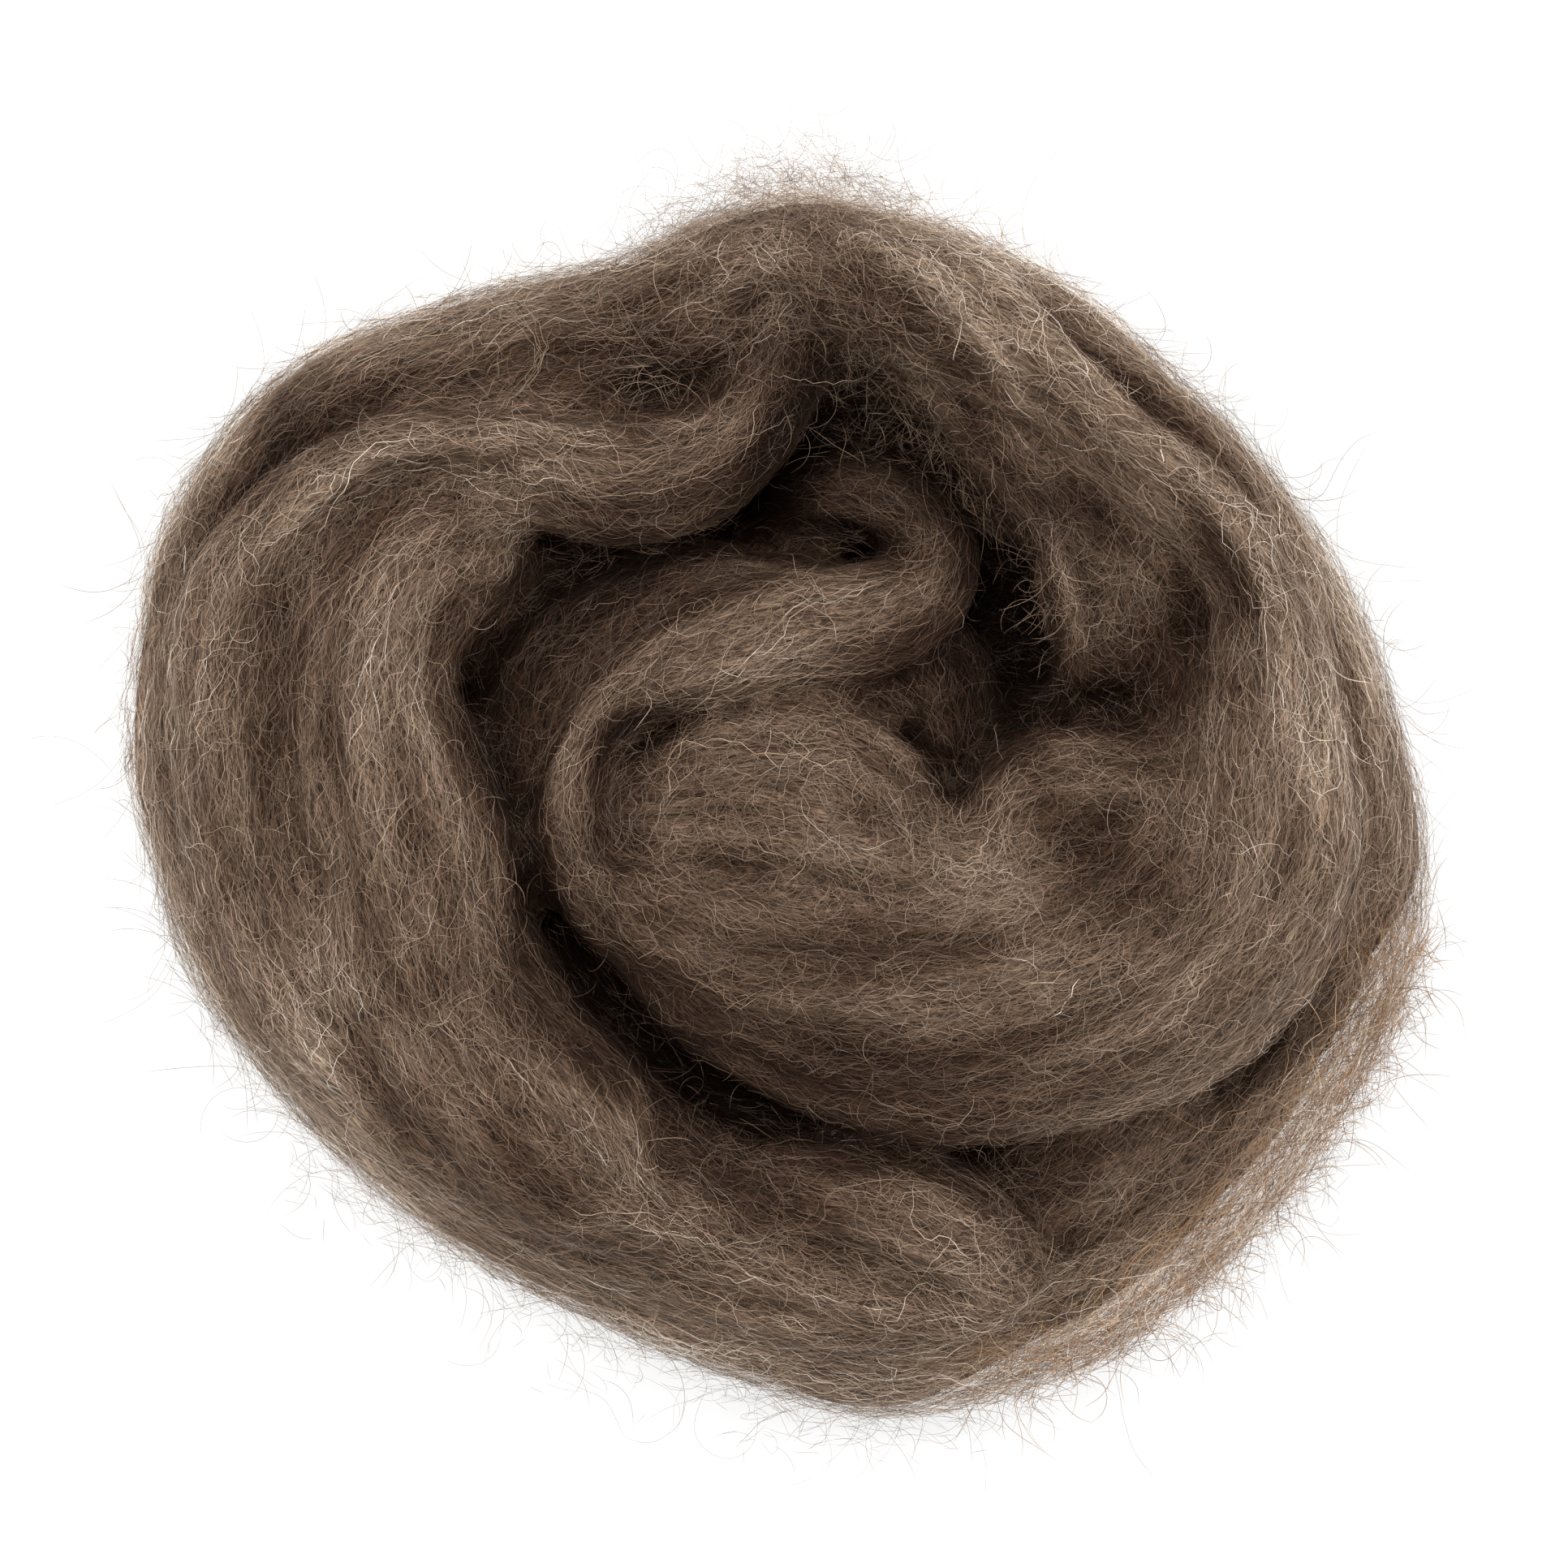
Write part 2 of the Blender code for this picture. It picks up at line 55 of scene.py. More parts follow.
# ------------------------------------------------------------------ the turns (x, y, z, half width, half height), mm
LOWER_TURNS = {
    "outer turn, from the top round the left": [
        (14, 58.5, 27, 9.5, 10), (0, 59.3, 24, 10.1, 13), (-14, 54.1, 19.5, 10.2, 16.5), (-30, 49.8, 17.5, 10, 18),
        (-45, 44.3, 16.5, 10, 17.5), (-54.6, 37.2, 15, 10.4, 16.5), (-61.7, 26.8, 14.5, 10.4, 16), (-63.8, 14, 14, 10.3, 15.5),
        (-64, 1, 14, 10.3, 15.5), (-60.6, -12, 14, 10.2, 15.5), (-54, -23.2, 13.5, 10.2, 15), (-44.7, -33.2, 13.5, 10.2, 15),
        (-32.2, -43, 13, 10.3, 14.5), (-17.8, -50.8, 13, 10.5, 14.5), (-3, -57, 13, 10.4, 14.5), (12, -60.6, 12, 10.8, 13.5),
    ],
    "outer turn, from the bottom up the right": [
        (-3, -57, 12.5, 10.2, 13.5), (12, -60.6, 12, 10.8, 13), (26.6, -58.8, 10.5, 10, 12), (39.5, -52, 9.5, 10, 11),
        (49.7, -41.8, 9, 9.5, 10.5), (58, -30, 10, 9.5, 11.5), (65.6, -18.3, 11.5, 9, 13), (66.5, -5, 14.5, 8.5, 15.5),
        (64.8, 7.5, 16, 8, 16.5), (59.8, 19, 16.5, 8, 16.5), (53.2, 29, 16.5, 8.5, 16.5), (45.3, 38, 15.5, 8.5, 16),
        (36, 46.7, 14.5, 8.5, 15.5), (25.6, 54.4, 13.5, 8.3, 15), (13.5, 58.6, 12.5, 8.7, 14), (2, 60, 11, 8.5, 12.5), (-11, 56, 9, 7, 10),
    ],
    "bed ring": [
        (-43, 0, 10.5, 13, 12), (-38, -22, 10.5, 13, 12), (-22, -38, 10.5, 13, 12), (0, -45, 10.5, 13, 12), (22, -44, 10.5, 12, 12),
        (40, -32, 10.5, 12, 12), (50, -12, 10.5, 12, 12), (50, 10, 10.5, 12, 12), (43, 29, 10.5, 11, 12), (28, 41, 10.5, 11, 12),
        (8, 46, 10.5, 11, 12), (-12, 45, 10.5, 11, 12), (-30, 37, 10.5, 12, 12), (-41, 20, 10.5, 13, 12),
    ],
    "inner bed": [
        (18, 36, 7.5, 5, 9), (4, 33, 8.5, 8, 10), (-10, 28, 8.5, 9, 10), (-21, 17, 8.5, 9, 10), (-25, 2, 8.5, 9, 10),
        (-20, -13, 8.5, 9, 10), (-7, -22, 9.5, 9, 11), (9, -24, 9.5, 10, 11), (25, -21, 9.5, 10, 11), (37, -12, 9.5, 10, 11),
        (38, 2, 8.5, 8, 10),
    ],
    "fill between the coil and the centre lump": [(-19.5, -12, 22.5, 4, 6), (-19.3, -5, 24.8, 4, 6.5), (-18.8, 1, 24.3, 3.8, 6.5), (-16.5, 7.2, 22.3, 4, 6), (-9, 10.8, 25, 4.3, 6.5), (0, 12.5, 25.5, 4.5, 6.5), (7, 12, 24, 4.5, 6.5), (13, 9, 19, 4, 6)],
    "curtain below the coil": [(14.5, 19.5, 20.5, 4.5, 5.5), (18.5, 15.5, 19.5, 6.4, 5.5), (20.5, 10.5, 18.3, 6.6, 5.8), (21, 4.5, 16.3, 5.6, 5.8), (21.5, 0, 15.5, 4.5, 6)],
    "foot of the pocket": [(16, 8, 18, 4, 6), (22, 7, 16.8, 4.5, 6), (28, 9, 14.5, 4.5, 6), (33, 12, 15, 4.5, 6)],
    "floor of the valley beside the third turn": [(-30.5, -3, 20, 4, 6), (-33, 5, 20.5, 4.2, 6), (-33.5, 12, 21.5, 4.5, 6), (-32, 18.5, 22.5, 4.5, 6.5), (-28, 24, 23, 4.5, 6.5), (-21, 28, 22.5, 3.5, 6)],
    "floor inside the hook": [(-3, 31, 17, 3, 5), (4, 31.3, 20, 3.5, 5), (10, 30.4, 20.5, 3.2, 5)],
    "bed under the centre": [(-12, 8, 8.5, 9, 10), (0, 12, 9, 9, 10.5), (9, 6, 8.5, 8, 10), (8, -8, 8.5, 10, 10), (-6, -8, 8.5, 10, 10)],
    "flat mat under the middle": [(-36, 2, 3.5, 16, 5), (-14, 3, 3.5, 32, 5), (14, 6, 3.5, 36, 5), (40, 6, 3.5, 24, 5)],
    "saddle between the lumps": [(20, -13, 17, 8, 10), (20.5, -6, 14.5, 7, 9.5), (20.5, 1, 10, 6, 8), (21, 8, 5.5, 6, 6)],
    "saddle behind the sagging fold": [(-42, 45.5, 23, 4, 7), (-28, 46.7, 27, 5.5, 7.5), (-17, 48.5, 28.5, 6.5, 7.5), (-7, 52, 29.5, 6.5, 7.5), (3, 57, 30, 6, 7)],
    "slope outside the coil": [(-26.5, -7, 20.5, 4, 6.5), (-29, 1, 22, 4.5, 7), (-29.5, 9, 23.5, 6, 7.5), (-25.5, 16, 24.8, 6.8, 7.5), (-18.5, 21, 25.5, 6.8, 7.5), (-10.5, 24.3, 25.5, 6, 7.5), (-2, 26.3, 24, 4.5, 6.5)],
    "saddle between the second and third turns": [(-40, 38.5, 29, 4, 7.5), (-47, 36.5, 30, 4.5, 7.5), (-53, 30.5, 31, 4.5, 7.5), (-56, 21, 31, 5, 8), (-57.3, 9, 31, 5, 8), (-56.5, -6, 30.5, 5, 8), (-53.5, -18, 29.5, 5, 8), (-48, -29, 28, 5, 8), (-38, -38, 26, 5, 7.5)],
    "flank beside the groove": [(-33.5, -6, 25, 3.5, 8), (-31.5, -14, 25.5, 4.5, 8), (-27.5, -22, 25, 5, 8), (-21, -30.2, 24, 5, 8), (-12.5, -37.6, 22, 4.5, 8), (-3, -41.6, 21, 4.5, 8), (9, -44, 20, 4, 7.5)],
    "core of the middle": [
        (-11, -10, 18.5, 8.5, 10), (2, -17, 22, 12, 10), (20, -19, 22.5, 12, 10), (36, -15, 23.5, 11, 10), (47, -4, 25, 10, 10),
        (51, 8, 26, 8, 10), (51, 20, 25, 7, 9),
    ],
}
UPPER_TURNS = {
    "sagging fold at the top": [
        (5, 59.5, 27.5, 5, 6), (3, 53.5, 29.5, 5.6, 7), (-0.3, 47, 33, 6.4, 7.5), (-5.3, 41, 36.3, 7.3, 8), (-12, 37.4, 38, 8.2, 8),
        (-19.5, 36.8, 38, 8.3, 8), (-27, 38.7, 37, 7.7, 8), (-35, 41, 35.5, 5.4, 8), (-42, 40.8, 34.5, 5, 8), (-49, 37.6, 33, 5.4, 8.5),
        (-56, 31.8, 31.5, 6, 9.5),
    ],
    "second turn": [
        (-49, 37.6, 33, 5.4, 8.5), (-56, 31.8, 31.5, 6, 9.5), (-60.8, 24.5, 30.5, 6.5, 10), (-62.8, 14, 29.7, 7, 10.5),
        (-62.5, 2, 29, 7.2, 11), (-59.7, -11, 28.3, 7.4, 11), (-54.5, -22.5, 27.5, 7.5, 11), (-46, -32, 26.5, 7.5, 10.5),
        (-35, -40.5, 26, 7.5, 10), (-21, -48.5, 25.5, 7.2, 9.5), (-6, -54, 25, 7, 9), (9, -57.5, 23.5, 7, 8.5),
        (22, -58, 19.5, 6.5, 7.5), (33, -54, 14.5, 6, 6.5),
    ],
    "third turn, folded under at its lip": [
        (-33.8, 28.3, 22, 6.5, 7), (-36, 28.6, 29, 8, 8.5), (-40, 27, 32, 9.6, 10), (-45.1, 20, 33.5, 9.9, 11), (-46.1, 11.5, 33.5, 10.6, 11.5),
        (-44.3, 3, 33.3, 12.2, 11.5), (-42.4, -5, 33, 13.2, 11.5), (-41.2, -14, 32.8, 12.3, 11.3), (-39, -23, 32.3, 11.7, 11),
        (-34.5, -32, 31.3, 11, 10.8), (-27, -39.8, 30, 10, 10.5), (-17, -45.8, 28, 8.5, 9.5), (-6, -50, 26.8, 7, 9), (6.5, -53.3, 25, 6.5, 8), (17, -57, 20.5, 6, 7.5),
    ],
    "end of the lip": [(-40, 32, 31, 5, 8), (-33.5, 31, 30.3, 5.6, 7.5), (-31.3, 27, 28.5, 4.6, 7), (-34, 22, 26, 4, 6.5)],
    "thumb on the third turn": [
        (-36, -12, 33.5, 4, 7), (-32.5, -21, 34, 5, 7.5), (-27.3, -29, 34, 6, 7.5), (-21.8, -36, 33, 7, 7.5),
        (-19, -42, 31, 6.6, 6.8), (-17.3, -47.5, 27.5, 5.4, 5),
    ],
    "tongue at the bottom": [
        (-12, -43, 16, 5, 7), (-5, -44.3, 21.5, 6, 8.5), (4.5, -45.8, 26, 7, 9), (14.5, -47.2, 26.3, 7.6, 8.5), (22.5, -51.5, 23, 7, 7.5), (28.3, -57.5, 17, 6, 6),
    ],
    "main turn, round the right and over the top": [
        (-15.5, -17, 22, 5, 8), (-8.3, -23.8, 25.3, 5.6, 9), (3.7, -28.4, 27.5, 7.2, 10), (18, -30.6, 29.5, 8.6, 10.5), (31, -28.8, 30.5, 9.2, 10.5),
        (42.5, -24.5, 31.5, 9.6, 11), (52, -16.5, 32.5, 10.2, 11), (57.2, -6, 33.5, 10.4, 11.5), (57.2, 6, 34, 9, 11.5),
        (57, 16, 35, 7, 11.5), (55.8, 25, 36, 6.6, 11), (51, 33.2, 37, 7.2, 10.5), (44, 40, 38, 8.2, 10.5),
        (35.3, 46.8, 39, 8.4, 11), (25, 53.7, 38, 8.4, 11), (13.5, 59, 35, 8.2, 10.5), (3, 61.8, 31.5, 8, 9.5),
        (-8, 59.5, 27.5, 7.3, 8.5), (-18, 56, 23.5, 6.6, 7.5), (-28, 52.3, 20, 5.8, 7),
    ],
    "inner flank of the main turn": [
        (44, 33, 21, 4.5, 8), (48, 24, 20, 5, 9), (49, 14, 21, 5, 9.5), (49, 4, 27, 6, 9.5), (45.5, -5.5, 30, 6.8, 9.5),
        (38, -13, 30.5, 7.3, 9.5), (26, -18.2, 31, 8, 9.5), (12, -20, 31.5, 8, 9.5), (-2, -19, 31, 8, 9.5), (-12, -14.2, 29.5, 7, 9),
        (-19, -8, 28, 5, 8),
    ],
    "inner coil with its hooked end": [
        (-9, 29.8, 9, 3, 4), (-3, 32.6, 15, 4, 5.5), (3, 35, 20, 5, 6.5), (9, 35.4, 22, 5, 7), (14.6, 33.2, 23, 5, 7),
        (18, 28.8, 23.8, 5, 7), (17, 24.2, 25, 5.2, 7.4), (10.5, 21.2, 26.8, 6.6, 8), (1, 20.2, 28.3, 7.8, 8.5), (-8, 17.7, 29.5, 7.2, 8.5),
        (-15.5, 14, 29.5, 5.6, 8), (-21.5, 8, 29.5, 4.5, 7.5), (-24.2, 0, 29, 4.3, 7.5), (-22.9, -7.3, 28, 4.4, 7.5), (-18.5, -13.6, 26.8, 4.5, 7.5),
        (-11.5, -18.3, 25.8, 4.8, 7.5), (-3, -22.5, 26, 5, 7),
    ],
    "arch of the centre lump": [
        (-17, 0, 20, 4.5, 7), (-11.5, 4, 24, 5.5, 8), (-3, 5.7, 27, 6, 8.5), (6, 5.2, 27.5, 5.8, 8.5), (12.5, 1.3, 27, 5.5, 8),
        (15.6, -5, 25.5, 4.5, 7.5), (15.5, -12, 23, 4, 7),
    ],
    "body of the centre lump": [(-27, 1, 11, 7, 7), (-18, -2, 18, 9, 9.5), (-11, -2.5, 21, 10.5, 11.5), (-3, -2.5, 22, 11.5, 12), (10, -5.5, 23, 11, 12), (20, -9, 22.5, 9, 10.5), (31, -10, 20, 8, 9.5)],
    "arch of the right lump": [(24, -6, 25, 4.2, 7), (25.8, 0.4, 26, 4.6, 7.5), (31, 3.1, 26.5, 5.6, 7.8), (39.5, 3, 27, 6, 8), (47, 0.8, 29, 5.6, 8), (50.5, -7, 31, 5.5, 8)],
    "body of the right lump": [(23, -8, 21, 8, 11), (34, -4.5, 21.2, 10.5, 12), (43, -4, 22.5, 9, 12)],
    "slope under the web": [(12, 56, 24, 6, 8), (20.5, 48.5, 24, 7, 8), (28, 41, 24.5, 8, 8), (36, 34, 24, 8, 8), (43.5, 25.5, 24.5, 8, 8.5), (46, 16, 23.5, 7.5, 8.5), (43, 10, 20.5, 6, 8)],
    "web over the far side of the pocket": [(18, 47, 17, 6, 6), (25.3, 39.5, 18, 5, 6), (32, 31, 18.5, 4.6, 6.5), (36.3, 23, 19, 5, 7), (37.3, 15, 18, 5.3, 7.5), (38, 8, 17, 6, 7)],
    "mound beside the pocket": [(32, 30.5, 27, 2.6, 4), (33.2, 25, 27.3, 3.3, 5), (35, 19, 25.5, 4.2, 5), (36.5, 13, 22.5, 4, 5)],
    "loose hook beside the mound": [(42.5, 36.5, 31, 2.2, 3.5), (43.8, 32, 30.5, 2.6, 4), (42.8, 28, 29.5, 2.6, 4), (38.5, 25.5, 28.3, 2.4, 3.5)],
    "hollow below the top": [(6, 60, 25, 7, 7), (9, 54, 20, 8, 7.5), (12.5, 48, 15.5, 9, 7.5), (16, 42, 12, 8, 7), (19, 36, 9, 6, 6)],
}
CLOSED_TURNS = {"bed ring"}
# how combed each turn is: spread of fibre angles in radians, where it isn't the default 0.12
DISORDER = {
    "arch of the centre lump": 0.34, "body of the centre lump": 0.6, "arch of the right lump": 0.26, "body of the right lump": 0.5,
    "slope under the web": 0.32, "web over the far side of the pocket": 0.5, "mound beside the pocket": 0.55, "loose hook beside the mound": 0.3,
    "hollow below the top": 0.5, "saddle between the lumps": 0.5, "inner flank of the main turn": 0.2, "core of the middle": 0.3,
    "flat mat under the middle": 0.5, "sagging fold at the top": 0.16,
}
# soft troughs between locks, seen in plan (x, y, width, depth), mm; a negative depth is a ridge; the troughs are also
# painted darker, painted shade
CREASES = {
    "between the rim and the second turn": [(-72.5, 20, 1.6, 1), (-67.5, 29.5, 2.2, 2.8), (-61.5, 35.5, 2.4, 3.4), (-55.5, 41, 2.1, 2.6), (-46, 44.8, 2, 2), (-35, 45.8, 1.8, 1.6), (-20, 46.6, 2, 2), (-10, 48, 2.2, 2.6), (-4, 52, 2, 2)],
    "over the lip of the third turn": [(-31, 36.2, 1.6, 0.7), (-35, 37.2, 1.6, 1.1), (-40, 37.2, 1.6, 1.4), (-46.5, 35.2, 2.1, 1.6), (-51.5, 30.5, 1.8, 1), (-55, 23.5, 1.9, 1.4), (-56.5, 14, 1.8, 1.7), (-57.5, 5, 2.1, 2.3), (-57.2, -5, 1.8, 1.2), (-57, -14, 2.2, 2), (-53.5, -21, 1.7, 1.1), (-47.5, -28.5, 2.3, 2.2), (-42, -36, 1.8, 1.3), (-33, -43, 1.6, 0.9)],
    "down the rim on the left": [(-70, 16, 1.4, 0.5), (-69, 6, 1.6, 1), (-68, -4, 1.5, 0.8), (-64.5, -15, 1.3, 0.5)],
    "down the second turn": [(-63.5, 15, 1.2, 0.7), (-63.3, 3, 1.3, 0.9), (-61.5, -9, 1.6, 1.5), (-58, -19, 1.3, 0.8), (-52, -28, 1.4, 1)],
    "down the third turn": [(-50.5, 22, 1.2, 0.7), (-51, 8, 1.3, 0.9), (-49.5, -5, 1.3, 0.8), (-46.5, -15, 1.3, 0.8), (-41.5, -24, 1.5, 1.2), (-36.5, -31, 1.7, 1.3), (-29, -37, 1.4, 0.8)],
    "by the lip": [(-41, 12, 1.1, 0.6), (-40.5, 20, 1.2, 0.9), (-37.5, 26.5, 1.2, 0.8)],
    "outer lock of the rim, upper left": [(-40, 52.5, 1.4, 0.7), (-30, 56.3, 1.5, 1), (-22, 57.2, 1.8, 1.7), (-15, 56.7, 1.9, 1.8), (-8, 58.8, 1.6, 1.3), (-3, 62, 1.3, 0.8)],
    "inner lock of the rim, upper left": [(-32, 50, 1.3, 0.7), (-23, 51, 1.7, 1.4), (-14, 51.6, 1.9, 1.9), (-6, 54.3, 1.7, 1.5), (0, 57.8, 1.5, 1)],
    "along the sagging fold": [(-30, 42, 1.2, 0.6), (-20, 40.2, 1.5, 1.1), (-11, 41, 1.5, 1), (-4.5, 45.5, 1.4, 0.8), (0, 51, 1.2, 0.6)],
    "low on the sagging fold": [(-25, 33.5, 1.4, 0.8), (-16, 32.5, 1.5, 0.9), (-8, 34, 1.4, 0.8), (-2, 39, 1.3, 0.8)],
    "inner edge of the main turn at the top": [(1, 67, 1.4, 1), (5.5, 63.5, 1.9, 2.2), (10.5, 60, 2.1, 2.6), (15.5, 56, 2.1, 2.6), (20, 51, 2, 2.2), (23.5, 45.5, 1.8, 1.6), (26, 40, 1.5, 1)],
    "between the main turn and the rim": [(28.6, 61.4, 1.2, 1.2), (31.4, 58, 1.5, 2.4), (35, 54.6, 1.7, 3.2), (39, 50.6, 1.8, 3.4), (42.2, 47.4, 1.8, 3.4), (46.4, 43.6, 1.8, 3.1), (50, 40.2, 1.7, 2.6), (54, 36.2, 1.6, 2), (59, 29.5, 1.5, 1.3), (63, 21.5, 1.5, 1.1), (65.3, 12, 1.5, 1), (66.5, 2, 1.4, 0.8), (67.5, -7, 1.3, 0.6)],
    "along the main turn, upper right": [(20, 61, 1.3, 0.7), (28, 53.5, 1.4, 0.9), (36, 46, 1.4, 0.8), (44, 40.5, 1.3, 0.7), (52, 33.5, 1.3, 0.7)],
    "under the shoulder": [(30, 44, 1.6, 1), (37, 38.5, 1.7, 1.2), (44, 33.5, 1.6, 1), (50, 27, 1.7, 1.2), (53, 18, 1.9, 1.4), (52.5, 9, 1.6, 0.9)],
    "right band": [(59.5, 14, 1.2, 0.6), (61, 3, 1.5, 1.2), (59, -5.5, 1.8, 1.9), (55.8, -13, 1.6, 1.4), (50, -20.5, 1.4, 0.9), (42, -26, 1.2, 0.6)],
    "outer part of the right band": [(66, -8, 1.3, 0.8), (63.5, -16, 1.3, 0.8), (58, -22, 1.3, 0.8), (50, -28, 1.2, 0.7)],
    "first terrace": [(-16, -10, 1.3, 0.6), (-8, -14, 1.5, 0.8), (4, -15, 2, 1.5), (11, -15.4, 2.3, 1.9), (18, -14.5, 2, 1.4), (27, -17, 2, 1.7), (36, -15.6, 2.1, 1.8), (43, -11, 1.7, 1.2)],
    "second terrace": [(-17, -18, 1.4, 0.8), (-6, -24.5, 1.5, 0.9), (8, -28.3, 1.9, 1.5), (20, -28.2, 2.1, 2), (32, -25.6, 2, 1.7), (42, -20.5, 1.7, 1.2), (49, -12, 1.4, 0.8)],
    "third terrace": [(-10, -28, 1.3, 0.6), (2, -32.5, 1.5, 0.9), (16, -34.5, 1.6, 1.1), (30, -32.5, 1.6, 1), (42, -28.5, 1.4, 0.7)],
    "bend beside the centre lump": [(-19.5, 3.5, 1.6, 0.5), (-17.8, 6, 2, 1.1), (-14.5, 8, 1.9, 1.1), (-10.5, 9.6, 1.5, 0.7), (-5, 11.6, 1.3, 0.6), (4, 12.6, 1.3, 0.6), (11, 10.5, 1.2, 0.4)],
    "right edge of the thumb": [(-14.5, -31.5, 1.4, 0.8), (-12.8, -37, 1.9, 1.6), (-12.3, -42, 2, 1.6), (-12.5, -47, 1.7, 1)],
    "between tongue and thumb": [(-7, -39.5, 2.4, 0.8), (-5, -46, 2.2, 0.8), (2, -51, 1.6, 0.6)],
    "along the bottom": [(-30, -50, 1.2, 0.6), (-16, -54, 1.4, 0.9), (-2, -57.5, 1.6, 1.2), (11, -61.5, 1.4, 0.9), (22, -63.5, 1.2, 0.6)],
    "inside the bottom": [(-8, -51.5, 1.3, 0.7), (3, -52.5, 1.5, 1), (14, -56, 1.3, 0.8)],
    "between the main turn and the sheer rim": [(34, -40, 1.8, 0.8), (43, -36.8, 2.2, 0.9), (51, -33, 2.5, 0.9), (58, -27.7, 2.5, 0.9), (64, -22, 2.1, 0.7), (68, -14, 1.5, 0.4)],
    "bright crest of the third turn": [(-45, 26, 2.2, -0.7), (-45.5, 12, 2.4, -0.8), (-45, 0, 2.4, -0.8), (-42, -10, 2.2, -0.7)],
    "bright crest of the thumb": [(-28, -26, 2, -0.5), (-23, -34, 2.6, -0.8), (-19.5, -41, 2.4, -0.8)],
    "bright crest between the lumps": [(20, -6, 2.6, -0.8), (27, -8, 2.8, -1), (28, -3, 2.2, -0.8)],
}
